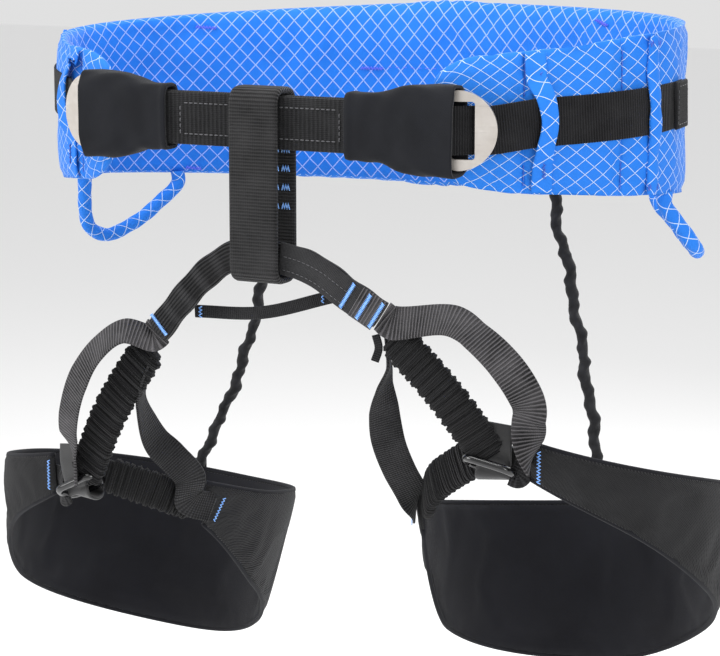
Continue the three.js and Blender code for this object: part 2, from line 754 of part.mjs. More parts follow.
  // Rear riser: a gathered elastic cord from the back of the belt, and its anchor on the pad.
  const anchorTop = onPad(riserTurn, 0, 3.2);
  const riserEnd = onPad(riserTurn, 0, 0).addScaledVector(UP, HINGE_GAP);
  const route = [
    riserTop,
    between(riserTop, riserEnd, 0.35, hang.riserSlack, 4, 0),
    between(riserTop, riserEnd, 0.7, hang.riserSlack, 4, 0),
    riserEnd,
  ];
  const cord = {
    points: place(route),
    edges: [back, back],
    width: RISER.depth,
    from: -RISER.width / 2,
    to: RISER.width / 2,
  };
  piece(name + "_rear_riser", strap({ ...cord, steps: 16 }), BLACK_WEBBING);
  const anchor = strip({
    at: (u) => flip(anchorTop.clone().addScaledVector(UP, mix(-18, -0.5, u)), side),
    across: () => flip(outwards(riserTurn + 90), side).multiplyScalar(side),
    width: () => 13,
    from: -0.7,
    to: 0.7,
    steps: 2,
  });
  piece(name + "_riser_anchor", anchor, BLACK_WEBBING);
}
LEGS.forEach(legLoop);

// ---- Gear loops ---------------------------------------------------------------------------
// A stiff cloth-covered loop hangs from the belt's lower edge on each side, splayed outwards.
function gearLoop({ name, side, gearSplay }) {
  const hang = (turn) => onBelt(turn, beltBottom(turn) - HINGE_GAP);
  const front = hang(side * GEAR_LOOP.from);
  const rear = hang(side * GEAR_LOOP.to);
  const splay = radians(gearSplay);
  const out = beltNormal((side * (GEAR_LOOP.from + GEAR_LOOP.to)) / 2);
  const fall = out.multiplyScalar(Math.sin(splay)).addScaledVector(UP, -Math.cos(splay));
  const sagShares = [[0, 0], [0.02, 0.4], [0.1, 0.85], [0.28, 1], [0.55, 0.8], [0.8, 0.42], [1, 0]];
  const points = sagShares.map(([share, sag]) => front
    .clone()
    .lerp(rear, share)
    .addScaledVector(fall, sag * GEAR_LOOP.sag));
  const section = new THREE.Shape();
  section.absarc(0, 0, GEAR_LOOP.radius, 0, 2 * Math.PI);
  const tube = new THREE.ExtrudeGeometry(section, {
    extrudePath: new THREE.CatmullRomCurve3(points),
    steps: 22,
    curveSegments: 8,
  });
  piece(name + "_gear_loop", tube, RIPSTOP);
}
LEGS.forEach(gearLoop);

export default harness;
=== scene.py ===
import math

import bmesh
import bpy
import numpy as np
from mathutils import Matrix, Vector


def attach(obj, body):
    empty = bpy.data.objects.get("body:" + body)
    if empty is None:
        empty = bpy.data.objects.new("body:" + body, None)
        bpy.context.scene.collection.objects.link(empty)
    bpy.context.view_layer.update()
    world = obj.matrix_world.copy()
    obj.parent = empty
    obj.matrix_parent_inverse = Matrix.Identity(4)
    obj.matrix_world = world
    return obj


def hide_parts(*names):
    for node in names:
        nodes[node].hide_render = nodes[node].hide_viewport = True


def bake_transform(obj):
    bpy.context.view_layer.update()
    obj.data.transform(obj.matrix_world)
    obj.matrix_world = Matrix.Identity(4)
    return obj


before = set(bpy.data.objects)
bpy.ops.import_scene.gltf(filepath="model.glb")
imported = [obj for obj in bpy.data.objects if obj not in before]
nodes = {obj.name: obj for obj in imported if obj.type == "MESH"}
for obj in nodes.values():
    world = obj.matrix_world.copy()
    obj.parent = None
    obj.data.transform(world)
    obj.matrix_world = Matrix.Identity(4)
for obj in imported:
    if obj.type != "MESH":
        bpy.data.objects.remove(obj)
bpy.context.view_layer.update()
SIDES = {"left": 1, "right": -1}

# ---- Camera, light and floor ---------------------------------------------------------------
# A long lens looks at the harness from the wearer's front left, a little from above. Big soft
# lamps stand over it and in front of it, and a pale floor lies well below it.
VIEW_TURN = math.radians(28)
VIEW_RISE = math.radians(10)
VIEW_DISTANCE = 1.5
VIEW_TARGET = Vector((0, 0, -0.125))
LENS = 132
camera = bpy.data.objects.new("camera", bpy.data.cameras.new("camera"))
bpy.context.scene.collection.objects.link(camera)
view_back = Vector(
    (
        math.sin(VIEW_TURN) * math.cos(VIEW_RISE),
        -math.cos(VIEW_TURN) * math.cos(VIEW_RISE),
        math.sin(VIEW_RISE),
    )
)
camera.location = VIEW_TARGET + view_back * VIEW_DISTANCE
camera.rotation_euler = (-view_back).to_track_quat("-Z", "Y").to_euler()
camera.data.lens = LENS
camera.data.clip_start = 0.05
camera.data.shift_x = -0.0014
bpy.context.scene.camera = camera


def lamp(name, place, size, power):
    light = bpy.data.lights.new(name, "AREA")
    light.size = size
    light.energy = power
    holder = bpy.data.objects.new(name, light)
    holder.location = place
    aim = VIEW_TARGET - holder.location
    holder.rotation_euler = aim.to_track_quat("-Z", "Y").to_euler()
    bpy.context.scene.collection.objects.link(holder)


lamp("lamp_above", (-0.15, -0.35, 1.5), 1.1, 26)
lamp("lamp_front_left", (-1.3, -1.3, 0.55), 1.0, 22)
lamp("lamp_front_right", (1.5, -0.9, 0.35), 0.9, 15)
lamp("lamp_behind", (0.3, 1.5, 0.7), 1.2, 14)
sky = bpy.data.worlds.new("studio")
bpy.context.scene.world = sky
sky.use_nodes = True
sky.node_tree.nodes["Background"].inputs["Color"].default_value = (1, 1, 1, 1)
sky.node_tree.nodes["Background"].inputs["Strength"].default_value = 0.75
bpy.context.scene.view_settings.view_transform = "Standard"

FLOOR_HEIGHT = -0.62
FLOOR_HALF = 9.0
floor_mesh = bpy.data.meshes.new("floor")
floor_mesh.from_pydata(
    [
        (x * FLOOR_HALF, y * FLOOR_HALF, FLOOR_HEIGHT)
        for x, y in ((-1, -1), (1, -1), (1, 1), (-1, 1))
    ],
    [],
    [(0, 1, 2, 3)],
)
floor = bpy.data.objects.new("floor", floor_mesh)
bpy.context.scene.collection.objects.link(floor)
floor_paint = bpy.data.materials.new("pale_floor")
floor_paint.use_nodes = True
floor_paint.node_tree.nodes["Principled BSDF"].inputs["Base Color"].default_value = (
    0.93, 0.93, 0.93, 1
)
floor_paint.node_tree.nodes["Principled BSDF"].inputs["Roughness"].default_value = 0.9
floor_mesh.materials.append(floor_paint)

# ---- Waist belt ----------------------------------------------------------------------------
# A foam pad 8 mm thick in the middle, faced on both sides with ripstop cloth that has a raised
# diamond grid of white yarn. The two faces meet at a rolled edge, and rows of stitches run
# across the outside where the pad bends.
MM = 0.001
HALF_WIDTH = 184
BACK_DEPTH = 105
FRONT_DEPTH = 108
BELT_TURNS = (0, 95, 135, 147)
BELT_RISE = (55, 45, 37, 35)
BELT_DROP = (55, 42, 35.5, 31)
BELT_ROLL = 5
TIP_TURN = {1: 150, -1: 144}
TIP_ROUND = 9
TIP_THIN = 1.2  # degrees over which the pad thins out to its end
RIM_TAPER = 0.2
BELT_MIDDLE = 0.85  # of the pad's thickness, outwards of the belt's own line
BELT_SEAMS = (133.5, 111.5, -133.5, -111.5)


def through(places, values):
    """A smooth curve through values at places, the same as the belt's and pads' pattern."""

    def slope(i):
        a, b = max(i - 1, 0), min(i + 1, len(places) - 1)
        return (values[b] - values[a]) / (places[b] - places[a])

    def at(x):
        i = 0
        while i < len(places) - 2 and x > places[i + 1]:
            i += 1
        span = places[i + 1] - places[i]
        t = min(max((x - places[i]) / span, 0), 1)
        bend = slope(i) * span * t * (1 - t) ** 2 - slope(i + 1) * span * t * t * (1 - t)
        return values[i] + (values[i + 1] - values[i]) * t * t * (3 - 2 * t) + bend

    return at


belt_rise = through(BELT_TURNS, BELT_RISE)
belt_drop = through(BELT_TURNS, BELT_DROP)


def belt_roll(turn):
    return BELT_ROLL * math.sin(math.radians(turn))


def belt_top(turn):
    return belt_roll(turn) + belt_rise(abs(turn))


def belt_bottom(turn):
    return belt_roll(turn) - belt_drop(abs(turn))


def belt_out(turn):
    """The direction straight out of the belt."""
    depth = FRONT_DEPTH if abs(turn) > 90 else BACK_DEPTH
    angle = math.radians(90 - turn)
    out = np.array((math.cos(angle) / HALF_WIDTH, math.sin(angle) / depth, 0))
    return out / np.linalg.norm(out)


def on_belt(turn, z=0, out=0):
    """A point `turn` degrees round from the middle of the back, towards the wearer's left."""
    depth = FRONT_DEPTH if abs(turn) > 90 else BACK_DEPTH
    angle = math.radians(90 - turn)
    return np.array(
        (HALF_WIDTH * math.cos(angle), depth * math.sin(angle), z)
    ) + out * belt_out(turn)


def unit(vectors):
    vectors = np.asarray(vectors, float)
    return vectors / np.linalg.norm(vectors, axis=-1, keepdims=True)


def skin(rings, along, around, closed=False):
    """A closed skin over rings of points. Along and around place the cloth's pattern, in mm."""
    rings = np.asarray(rings, float)
    count, size = rings.shape[:2]
    faces, places = [], []
    for i in range(count if closed else count - 1):
        n = (i + 1) % count
        for j in range(size):
            k = (j + 1) % size
            faces.append((i * size + j, i * size + k, n * size + k, n * size + j))
            places += [(along[i], around[j]), (along[i], around[j + 1])]
            places += [(along[i + 1], around[j + 1]), (along[i + 1], around[j])]
    if not closed:
        for i in (0, count - 1):
            faces.append(tuple(range(i * size, i * size + size)))
            places += [(along[i], around[j]) for j in range(size)]
    return rings.reshape(-1, 3), faces, places


def build(name, skins, material, body=None, replaced=()):
    """One piece made of closed skins, whose cloth places are kept in its UV map."""
    points, faces, places, first = [], [], [], 0
    for own_points, own_faces, own_places in skins:
        points.append(own_points)
        faces += [tuple(first + v for v in face) for face in own_faces]
        places += own_places
        first += len(own_points)
    mesh = bpy.data.meshes.new(name)
    mesh.from_pydata((np.concatenate(points) * MM).tolist(), [], faces)
    layer = mesh.uv_layers.new(name="cloth")
    layer.uv.foreach_set("vector", (np.array(places) * MM).astype(np.float32).ravel())
    turn_out = bmesh.new()
    turn_out.from_mesh(mesh)
    bmesh.ops.recalc_face_normals(turn_out, faces=turn_out.faces)
    turn_out.to_mesh(mesh)
    turn_out.free()
    mesh.polygons.foreach_set("use_smooth", [True] * len(mesh.polygons))
    mesh.materials.append(material)
    made = bpy.data.objects.new(name, mesh)
    bpy.context.scene.collection.objects.link(made)
    if body:
        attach(made, body)
    if replaced:
        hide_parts(*replaced)
    return made


def lengths(points):
    """The distance walked along a row of points, from its start."""
    steps = np.linalg.norm(np.diff(points, axis=0), axis=1)
    return np.concatenate(([0], np.cumsum(steps)))


def node(tree, kind, inputs=None, **settings):
    made = tree.nodes.new("ShaderNode" + kind)
    for key, value in settings.items():
        setattr(made, key, value)
    for key, value in (inputs or {}).items():
        if isinstance(value, bpy.types.NodeSocket):
            tree.links.new(value, made.inputs[key])
        else:
            made.inputs[key].default_value = value
    return made


def maths(tree, operation, *values):
    made = node(tree, "Math", operation=operation)
    for socket, value in zip(made.inputs, values):
        if isinstance(value, bpy.types.NodeSocket):
            tree.links.new(value, socket)
        else:
            socket.default_value = value
    return made.outputs[0]


def effect(name, inputs, outputs):
    """An empty node group with number inputs and outputs."""
    tree = bpy.data.node_groups.new(name, "ShaderNodeTree")
    for key, value in inputs.items():
        socket = tree.interface.new_socket(key, in_out="INPUT", socket_type="NodeSocketFloat")
        socket.default_value = value
    for key in outputs:
        tree.interface.new_socket(key, in_out="OUTPUT", socket_type="NodeSocketFloat")
    return tree, tree.nodes.new("NodeGroupInput").outputs, tree.nodes.new("NodeGroupOutput").inputs


def cloth_place(tree):
    """How far along and around the cloth a point is, in mm."""
    place = node(tree, "SeparateXYZ", {0: node(tree, "UVMap", uv_map="cloth").outputs[0]})
    return tuple(maths(tree, "MULTIPLY", place.outputs[i], 1 / MM) for i in (0, 1))


# Diamond grid: two sets of straight yarns that cross.
grid, have, give = effect(
    "diamond_grid",
    {"Wide": 8.6, "Tall": 8.6, "Yarn": 0.06, "Soft": 0.03},
    ("Yarns", "Height"),
)
along, around = cloth_place(grid)
wide = maths(grid, "DIVIDE", along, have["Wide"])
tall = maths(grid, "DIVIDE", around, have["Tall"])
lines = []
for operation in ("ADD", "SUBTRACT"):
    share = maths(grid, "FRACT", maths(grid, operation, wide, tall))
    away = maths(grid, "ABSOLUTE", maths(grid, "SUBTRACT", share, 0.5))
    line = node(grid, "MapRange", {"Value": away}, interpolation_type="SMOOTHSTEP")
    grid.links.new(have["Yarn"], line.inputs["From Min"])
    grid.links.new(maths(grid, "ADD", have["Yarn"], have["Soft"]), line.inputs["From Max"])
    line.inputs["To Min"].default_value = 1
    line.inputs["To Max"].default_value = 0
    lines.append(line.outputs[0])
grid.links.new(maths(grid, "MAXIMUM", *lines), give["Yarns"])
grid.links.new(maths(grid, "ADD", *lines), give["Height"])

# Plain weave: fine yarns over and under, with an uneven hand to them.
weave, have, give = effect("plain_weave", {"Along": 0.7, "Around": 0.7, "Uneven": 0.3}, ("Height",))
along, around = cloth_place(weave)
waves = []
for place, pitch in ((along, "Along"), (around, "Around")):
    turns = maths(weave, "DIVIDE", maths(weave, "MULTIPLY", place, 2 * math.pi), have[pitch])
    waves.append(maths(weave, "SINE", turns))
crossing = maths(weave, "MULTIPLY", *waves)
cloud = node(weave, "TexNoise", {"Scale": 900.0, "Detail": 2.0})
weave.links.new(node(weave, "TexCoord").outputs["Object"], cloud.inputs["Vector"])
loose = maths(weave, "MULTIPLY", cloud.outputs["Fac"], have["Uneven"])
weave.links.new(maths(weave, "ADD", maths(weave, "MULTIPLY", crossing, 0.5), loose), give["Height"])

# Handling: soft clouds of slightly worn or dusty cloth.
handling, have, give = effect("handling", {"Size": 0.03, "Strength": 1.0}, ("Worn",))
cloud = node(handling, "TexNoise", {"Detail": 4.0, "Roughness": 0.6})
handling.links.new(maths(handling, "DIVIDE", 1.0, have["Size"]), cloud.inputs["Scale"])
handling.links.new(node(handling, "TexCoord").outputs["Object"], cloud.inputs["Vector"])
worn = node(
    handling, "MapRange", {"Value": cloud.outputs["Fac"], "From Min": 0.35, "From Max": 0.75}
)
handling.links.new(maths(handling, "MULTIPLY", worn.outputs[0], have["Strength"]), give["Worn"])


def use(tree, group, **values):
    made = node(tree, "Group", node_tree=group)
    for key, value in values.items():
        made.inputs[key].default_value = value
    return made.outputs


def blank(name, roughness, **sockets):
    """A material with only its shader, and the shader's plain values."""
    material = bpy.data.materials.new(name)
    material.use_nodes = True
    shader = material.node_tree.nodes["Principled BSDF"]
    shader.inputs["Roughness"].default_value = roughness
    for key, value in sockets.items():
        shader.inputs[key.replace("_", " ")].default_value = value
    return material, material.node_tree, shader


def mixed(tree, share, first, second):
    """A colour between two colours."""
    blend = node(tree, "Mix", data_type="RGBA")
    for socket, value in (
        (blend.inputs[0], share), (blend.inputs[6], first), (blend.inputs[7], second)
    ):
        if isinstance(value, bpy.types.NodeSocket):
            tree.links.new(value, socket)
        elif socket is blend.inputs[0]:
            socket.default_value = value
        else:
            socket.default_value = (*value, 1)
    return blend.outputs[2]


def bumped(tree, shader, height, distance, under=None):
    """Gives the shader the relief of `height`, over another relief if there is one."""
    relief = node(tree, "Bump", {"Strength": 1.0, "Distance": distance, "Height": height})
    if under is not None:
        tree.links.new(under, relief.inputs["Normal"])
    tree.links.new(relief.outputs[0], shader.inputs["Normal"])
    return relief.outputs[0]


def ripstop(name, blue, worn_blue, yarn, yarn_share, soft):
    material, tree, shader = blank(name, 0.62, Sheen_Weight=0.06, Specular_IOR_Level=0.2)
    shader.inputs["Sheen Roughness"].default_value = 0.4
    worn = use(tree, handling, Size=0.05, Strength=0.5)["Worn"]
    diamonds = use(tree, grid, Wide=GRID_WIDE, Tall=GRID_TALL, Yarn=yarn_share, Soft=soft)
    ground = mixed(tree, worn, blue, worn_blue)
    tree.links.new(mixed(tree, diamonds["Yarns"], ground, yarn), shader.inputs["Base Color"])
    fine = bumped(tree, shader, use(tree, weave, Along=0.6, Around=0.6)["Height"], 0.00006)
    bumped(tree, shader, diamonds["Height"], 0.00022, under=fine)
    return material


GRID_WIDE = 9.6
GRID_TALL = 11.0
RIPSTOP_OUT = ripstop(
    "blue_ripstop", (0.010, 0.150, 0.60), (0.016, 0.185, 0.66), (0.6, 0.72, 0.95), 0.010, 0.026
)
RIPSTOP_IN = ripstop(
    "blue_ripstop_inside", (0.008, 0.145, 0.62), (0.012, 0.175, 0.68), (0.3, 0.42, 0.9), 0.024, 0.04
)
FACE_ROWS = 20
RIM_POINTS = 3
RIM_HALF = 2.3
MIDDLE_SWELL = 1.8


def pad_section(high, half, swell):
    """Points round a flat pad of total height `high`: up its inner face, over, and down."""
    rows = np.linspace(-1, 1, FACE_ROWS + 1)
    thick = half + swell * (1 - rows**4)
    face = rows * (high / 2 - half)
    rim = np.linspace(0, math.pi, RIM_POINTS + 2)[1:-1]
    up = np.concatenate(
        (
            face, high / 2 - half + half * np.sin(rim), face[::-1],
            half - high / 2 - half * np.sin(rim)
        )
    )
    out = np.concatenate((-thick, -half * np.cos(rim), thick[::-1], half * np.cos(rim)))
    return up, out


def belt_tip_share(turn):
    end = TIP_TURN[1] if turn > 0 else TIP_TURN[-1]
    left = min(max((end - abs(turn)) / TIP_ROUND, 0), 1)
    return 0.62 + 0.38 * math.sqrt(1 - (1 - left) ** 2)


turns = list(np.linspace(TIP_TURN[1] - TIP_THIN, TIP_THIN - TIP_TURN[-1], 290))
turns += [s + d for s in BELT_SEAMS for d in (-0.5, -0.25, 0, 0.25, 0.5)]
turns += [TIP_TURN[1] - d for d in (0, 0.15, 0.5)] + [d - TIP_TURN[-1] for d in (0, 0.15, 0.5)]
turns = np.array(sorted(set(turns), reverse=True))
belt_rings = []
for turn in turns:
    top, bottom = belt_top(turn) * belt_tip_share(turn), belt_bottom(turn) * belt_tip_share(turn)
    end = (TIP_TURN[1] - turn) if turn > 0 else (TIP_TURN[-1] + turn)
    thin = math.sqrt(1 - (1 - min(end / TIP_THIN, 1)) ** 2) * (1 - RIM_TAPER) + RIM_TAPER
    up, out = pad_section(top - bottom, RIM_HALF * thin, MIDDLE_SWELL * thin)
    seam = max(math.exp(-(((turn - s) / 0.4) ** 2)) for s in BELT_SEAMS)
    out = np.where(out > 0, out * (1 - 0.5 * seam), out)
    middle = (top + bottom) / 2
    belt_rings.append([on_belt(turn, middle + z, BELT_MIDDLE + o) for z, o in zip(up, out)])
belt_rings = np.array(belt_rings)
belt_along = lengths(np.array([on_belt(t) for t in turns]))
RING_SIZE = belt_rings.shape[1]
belt_around = lengths(np.vstack((belt_rings[len(turns) // 2], belt_rings[len(turns) // 2][:1])))


CLOTH_STEPS = 20


def puff(piece, held, pressure, cap):
    """Blows a closed pad up like filled cloth. Held points stay, and none moves over `cap`."""
    group = piece.vertex_groups.new(name="held")
    group.add([int(v) for v in held], 1.0, "REPLACE")
    cloth = piece.modifiers.new("cloth", "CLOTH")
    settings = cloth.settings
    settings.vertex_group_mass = "held"
    settings.use_pressure = True
    settings.uniform_pressure_force = pressure
    settings.tension_stiffness = settings.compression_stiffness = 12
    settings.bending_stiffness = 0.4
    settings.shrink_min = -0.015
    settings.effector_weights.gravity = 0
    scene = bpy.context.scene
    for step in range(1, CLOTH_STEPS + 1):
        scene.frame_set(step)
    shaped = piece.evaluated_get(bpy.context.evaluated_depsgraph_get())
    rest = np.empty(len(piece.data.vertices) * 3, np.float32)
    blown = np.empty_like(rest)
    piece.data.vertices.foreach_get("co", rest)
    shaped.data.vertices.foreach_get("co", blown)
    move = (blown - rest).reshape(-1, 3)
    far = np.maximum(np.linalg.norm(move, axis=1), 1e-9)
    move *= (np.minimum(far, cap) / far)[:, None]
    piece.modifiers.remove(cloth)
    scene.frame_set(1)
    piece.data.vertices.foreach_set("co", (rest.reshape(-1, 3) + move).ravel())
    piece.vertex_groups.remove(group)
    piece.data.update()


def rim_points(count):
    """The points of a pad of `count` rings where its faces meet its rims."""
    rims = [j for j in range(RING_SIZE) if j % (RING_SIZE // 2) in (0, FACE_ROWS)]
    return [i * RING_SIZE + j for i in range(count) for j in rims]


def line_inside(piece, lining, last_row):
    """Covers a pad's inner face, up to `last_row` of its section, with the lining."""
    piece.data.materials.append(lining)
    for face in piece.data.polygons:
        rows = [v % RING_SIZE for v in face.vertices]
        face.material_index = int(len(rows) == 4 and max(rows) <= last_row)


belt = build("waist_belt", [skin(belt_rings, belt_along, belt_around)], RIPSTOP_OUT)
seam_rings = [i for i, t in enumerate(turns) if min(abs(t - s) for s in BELT_SEAMS) < 0.3]
seam_points = [i * RING_SIZE + j for i in seam_rings for j in range(RING_SIZE)]
puff(belt, seam_points + rim_points(len(turns)), 1.6, 0.0012)
line_inside(belt, RIPSTOP_IN, FACE_ROWS + 2)
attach(belt, "waist")
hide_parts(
    "waist_inner_lining", "waist_foam_core", "waist_load_webbing", "waist_outer_cover"
)

# ---- Belt stitching ------------------------------------------------------------------------
# Polyester thread. Rows of straight stitches run down the outside seams, and short dense bars
# of zigzag hold the straps that are sewn inside the belt.
THREAD_RADIUS = 0.28
STITCH_ROUND = 6


def thread_paint(name, colour, light):
    material, tree, shader = blank(name, 0.42, Sheen_Weight=0.1, Specular_IOR_Level=0.5)
    twist = use(tree, weave, Along=0.5, Around=0.9, Uneven=0.8)["Height"]
    # Painted highlight: the raised twist of the thread takes the lighter colour, the low twist the
    # base colour.
    tree.links.new(mixed(tree, twist, colour, light), shader.inputs["Base Color"])
    bumped(tree, shader, twist, 0.00008)
    return material


# The second colour of each thread is its painted highlight.
NAVY_THREAD = thread_paint("navy_thread", (0.02, 0.06, 0.42), (0.06, 0.14, 0.6))
PURPLE_THREAD = thread_paint("violet_thread", (0.05, 0.06, 0.62), (0.12, 0.14, 0.8))
BLUE_THREAD = thread_paint("bright_blue_thread", (0.02, 0.22, 0.86), (0.45, 0.72, 1.0))
GREY_THREAD = thread_paint("grey_thread", (0.05, 0.05, 0.055), (0.11, 0.11, 0.12))


def frames(points, edges):
    """The edge and face directions at each point of a path, from rough edge directions."""
    tangent = unit(np.gradient(points, axis=0))
    edges = np.broadcast_to(np.asarray(edges, float), points.shape)
    edges = unit(edges - tangent * np.sum(edges * tangent, axis=1, keepdims=True))
    return edges, np.cross(tangent, edges)


def sweep(points, edges, section, closed=False):
    """A skin along a path. The section is in (across, out) and may differ at each point."""
    points = np.asarray(points, float)
    if closed:
        tangent = unit(np.roll(points, -1, axis=0) - np.roll(points, 1, axis=0))
        across = np.broadcast_to(np.asarray(edges, float), points.shape)
        across = unit(across - tangent * np.sum(across * tangent, axis=1, keepdims=True))
        out = np.cross(tangent, across)
        along = lengths(np.vstack((points, points[:1])))
    else:
        across, out = frames(points, edges)
        along = lengths(points)
    section = np.asarray(section, float)
    if section.ndim == 2:
        section = np.broadcast_to(section, (len(points), *section.shape))
    rings = points[:, None] + across[:, None] * section[..., :1] + out[:, None] * section[..., 1:]
    flat = section[len(section) // 2]
    around = lengths(np.vstack((flat, flat[:1])))
    return skin(rings, along, around, closed)


def round_section(radius, count=STITCH_ROUND):
    angle = np.linspace(0, 2 * math.pi, count, endpoint=False)
    return np.stack((radius * np.cos(angle), radius * np.sin(angle)), axis=1)


def thread(points, edge, radius=THREAD_RADIUS):
    """A thread laid along points, thin where it goes into the cloth at both ends."""
    points = np.asarray(points, float)
    thin = np.full(len(points), 1.0)
    thin[0] = thin[-1] = 0.4
    return sweep(points, edge, round_section(radius)[None] * thin[:, None, None])


def read_at(at, places, rows):
    """Rows of three numbers, given at places, read off at other places between them."""
    return np.stack([np.interp(at, places, rows[:, k]) for k in range(3)], axis=1)


def stitches(path, out, length=2.2, gap=0.8, radius=THREAD_RADIUS):
    """Straight stitches laid on a path, each rising a little out of the cloth."""
    path = np.asarray(path, float)
    walked = lengths(path)
    out = np.broadcast_to(np.asarray(out, float), path.shape)
    made = []
    for start in np.arange(0, walked[-1] - length, length + gap):
        at = start + length * np.array((0, 0.2, 0.5, 0.8, 1))
        place, lift = read_at(at, walked, path), read_at(at, walked, out)
        rise = radius * np.array((-0.4, 0.5, 0.8, 0.5, -0.4))
        made.append(thread(place + lift * rise[:, None], lift[2], radius))
    return made


def bartack(centre, run, out, length, width=2.2, pitch=1.0, radius=0.4):
    """A dense zigzag of thread, `length` along `run` and `width` across it."""
    run, out = unit(run), unit(out)
    side = np.cross(out, run)
    count = max(int(length / pitch), 2)
    points = []
    for i in range(count + 1):
        place = np.asarray(centre, float) + run * (i / count - 0.5) * length
        points.append(place + side * width * (0.5 if i % 2 else -0.5) + out * radius * 0.5)
    finer = []
    for a, b in zip(points, points[1:]):
        finer += [a, (a + b) / 2 + out * radius * 0.5]
    return sweep(np.array(finer + [points[-1]]), out, round_section(radius, 5))


seam_threads = []
for seam in BELT_SEAMS:
    for z0, z1 in ((belt_bottom(seam) + 4, -16), (18, belt_top(seam) - 4)):
        row = [on_belt(seam, z, BELT_MIDDLE + RIM_HALF + 0.1) for z in np.linspace(z0, z1, 12)]
        seam_threads += stitches(row, belt_out(seam), 2.4, 0.5)
build("belt_seam_stitches", seam_threads, NAVY_THREAD, "waist")


def inside(turn, z):
    """A point on the belt's inner face."""
    return on_belt(turn, z, BELT_MIDDLE - RIM_HALF - MIDDLE_SWELL - 0.2)


INSIDE_BARS = ((-53, 38, -48, 37), (-56, -47, -52, -48), (-16.5, 14, -12, 14), (36, 48, 39.5, 45))
inside_threads = []
for turn_a, z_a, turn_b, z_b in INSIDE_BARS:
    start, end = inside(turn_a, z_a), inside(turn_b, z_b)
    out = -belt_out((turn_a + turn_b) / 2)
    inside_threads.append(
        bartack((start + end) / 2, end - start, out, np.linalg.norm(end - start), 1.8, 0.9)
    )
inside_threads += stitches(
    [inside(t, 15) for t in np.linspace(-11, 14, 20)], -belt_out(0), 2.6, 2.2, 0.22
)
build("belt_inside_bartacks", inside_threads, PURPLE_THREAD, "waist")

# ---- Buckles -------------------------------------------------------------------------------
# A flat steel plate with a round end and two slots, stamped, tumbled and brushed. The bridge is
# sewn round its straight bar, and the belt's webbing goes through the wide slot.
BAR_X = 98
BRIDGE_Y = -110
BRIDGE_Z = 2
PLATE_YAW = math.radians(20)


def handled(tree, shader, size, strength, fresh, used):
    """Colours the shader between fresh and used where the surface has been handled."""
    worn = use(tree, handling, Size=size, Strength=strength)["Worn"]
    tree.links.new(mixed(tree, worn, fresh, used), shader.inputs["Base Color"])
    return worn


steel, tree, shader = blank("brushed_steel_plate", 0.3, Metallic=1.0)
place = node(tree, "TexCoord").outputs["Object"]
drawn = node(tree, "Mapping", {"Vector": place, "Scale": (14.0, 14.0, 420.0)})
lines = node(
    tree, "TexNoise", {"Vector": drawn.outputs[0], "Scale": 6.0, "Detail": 5.0}
).outputs["Fac"]
handled(tree, shader, 0.012, 1.0, (0.66, 0.61, 0.56), (0.78, 0.74, 0.7))
rough = node(tree, "MapRange", {"Value": lines, "To Min": 0.2, "To Max": 0.48})
tree.links.new(rough.outputs[0], shader.inputs["Roughness"])
bumped(tree, shader, lines, 0.00003)
for side in SIDES:
    plate = nodes[side + "_buckle"]
    plate.data.materials.clear()
    plate.data.materials.append(steel)
    edge = plate.modifiers.new("rounded_edge", "BEVEL")
    edge.width = 0.7 * MM
    edge.segments = 3
    edge.limit_method = "ANGLE"
    edge.angle_limit = math.radians(40)
    edge.harden_normals = True

# ---- Belt webbing --------------------------------------------------------------------------
# Black 25 mm nylon webbing with a firm cross rib. It comes out of the belt under the buckle,
# goes up through the slot and back along the belt, and ends in a folded and sewn hem.
WEBBING_WIDTH = 25
WEBBING = 1.5
TAIL_ENDS = {"left": 89, "right": 82}
TAIL_LIFT = 9
TAIL_RISEN = 89  # the turn at which a tail has risen by its whole lift
TAIL_OUT = 6.2
HEM_OUT = TAIL_OUT + 1.9
FRONT_KEEPER = 130
SIDE_KEEPERS = {"left": 103, "right": 96}
UP = np.array((0, 0, 1.0))

# Cross rib: bold ribs over a webbing's width, cut into short yarns.
ribs, have, give = effect(
    "webbing_ribs", {"Rib": 1.5, "Yarn": 1.1, "Deep yarns": 0.35}, ("Height", "Lit crown")
)
along, around = cloth_place(ribs)
turns_along = maths(ribs, "DIVIDE", maths(ribs, "MULTIPLY", along, 2 * math.pi), have["Rib"])
turns_around = maths(ribs, "DIVIDE", maths(ribs, "MULTIPLY", around, 2 * math.pi), have["Yarn"])
cloud = node(ribs, "TexNoise", {"Scale": 260.0, "Detail": 3.0})
ribs.links.new(node(ribs, "TexCoord").outputs["Object"], cloud.inputs["Vector"])
drift = maths(ribs, "MULTIPLY", cloud.outputs["Fac"], 1.4)
rib = maths(ribs, "SINE", maths(ribs, "ADD", turns_along, drift))
yarn = maths(ribs, "MULTIPLY", maths(ribs, "SINE", turns_around), have["Deep yarns"])
# The lit crown mask marks the rib tops, where the materials put a painted highlight.
crown = node(ribs, "MapRange", {"Value": rib, "From Min": -0.2, "From Max": 1.0})
ribs.links.new(maths(ribs, "ADD", rib, yarn), give["Height"])
ribs.links.new(crown.outputs[0], give["Lit crown"])


def dark_cloth(name, roughness, sheen_roughness=0.5):
    """A dull black cloth, with a faint sheen and its colour still to be given."""
    material, tree, shader = blank(name, roughness, Sheen_Weight=0.06, Specular_IOR_Level=0.14)
    shader.inputs["Sheen Roughness"].default_value = sheen_roughness
    return material, tree, shader


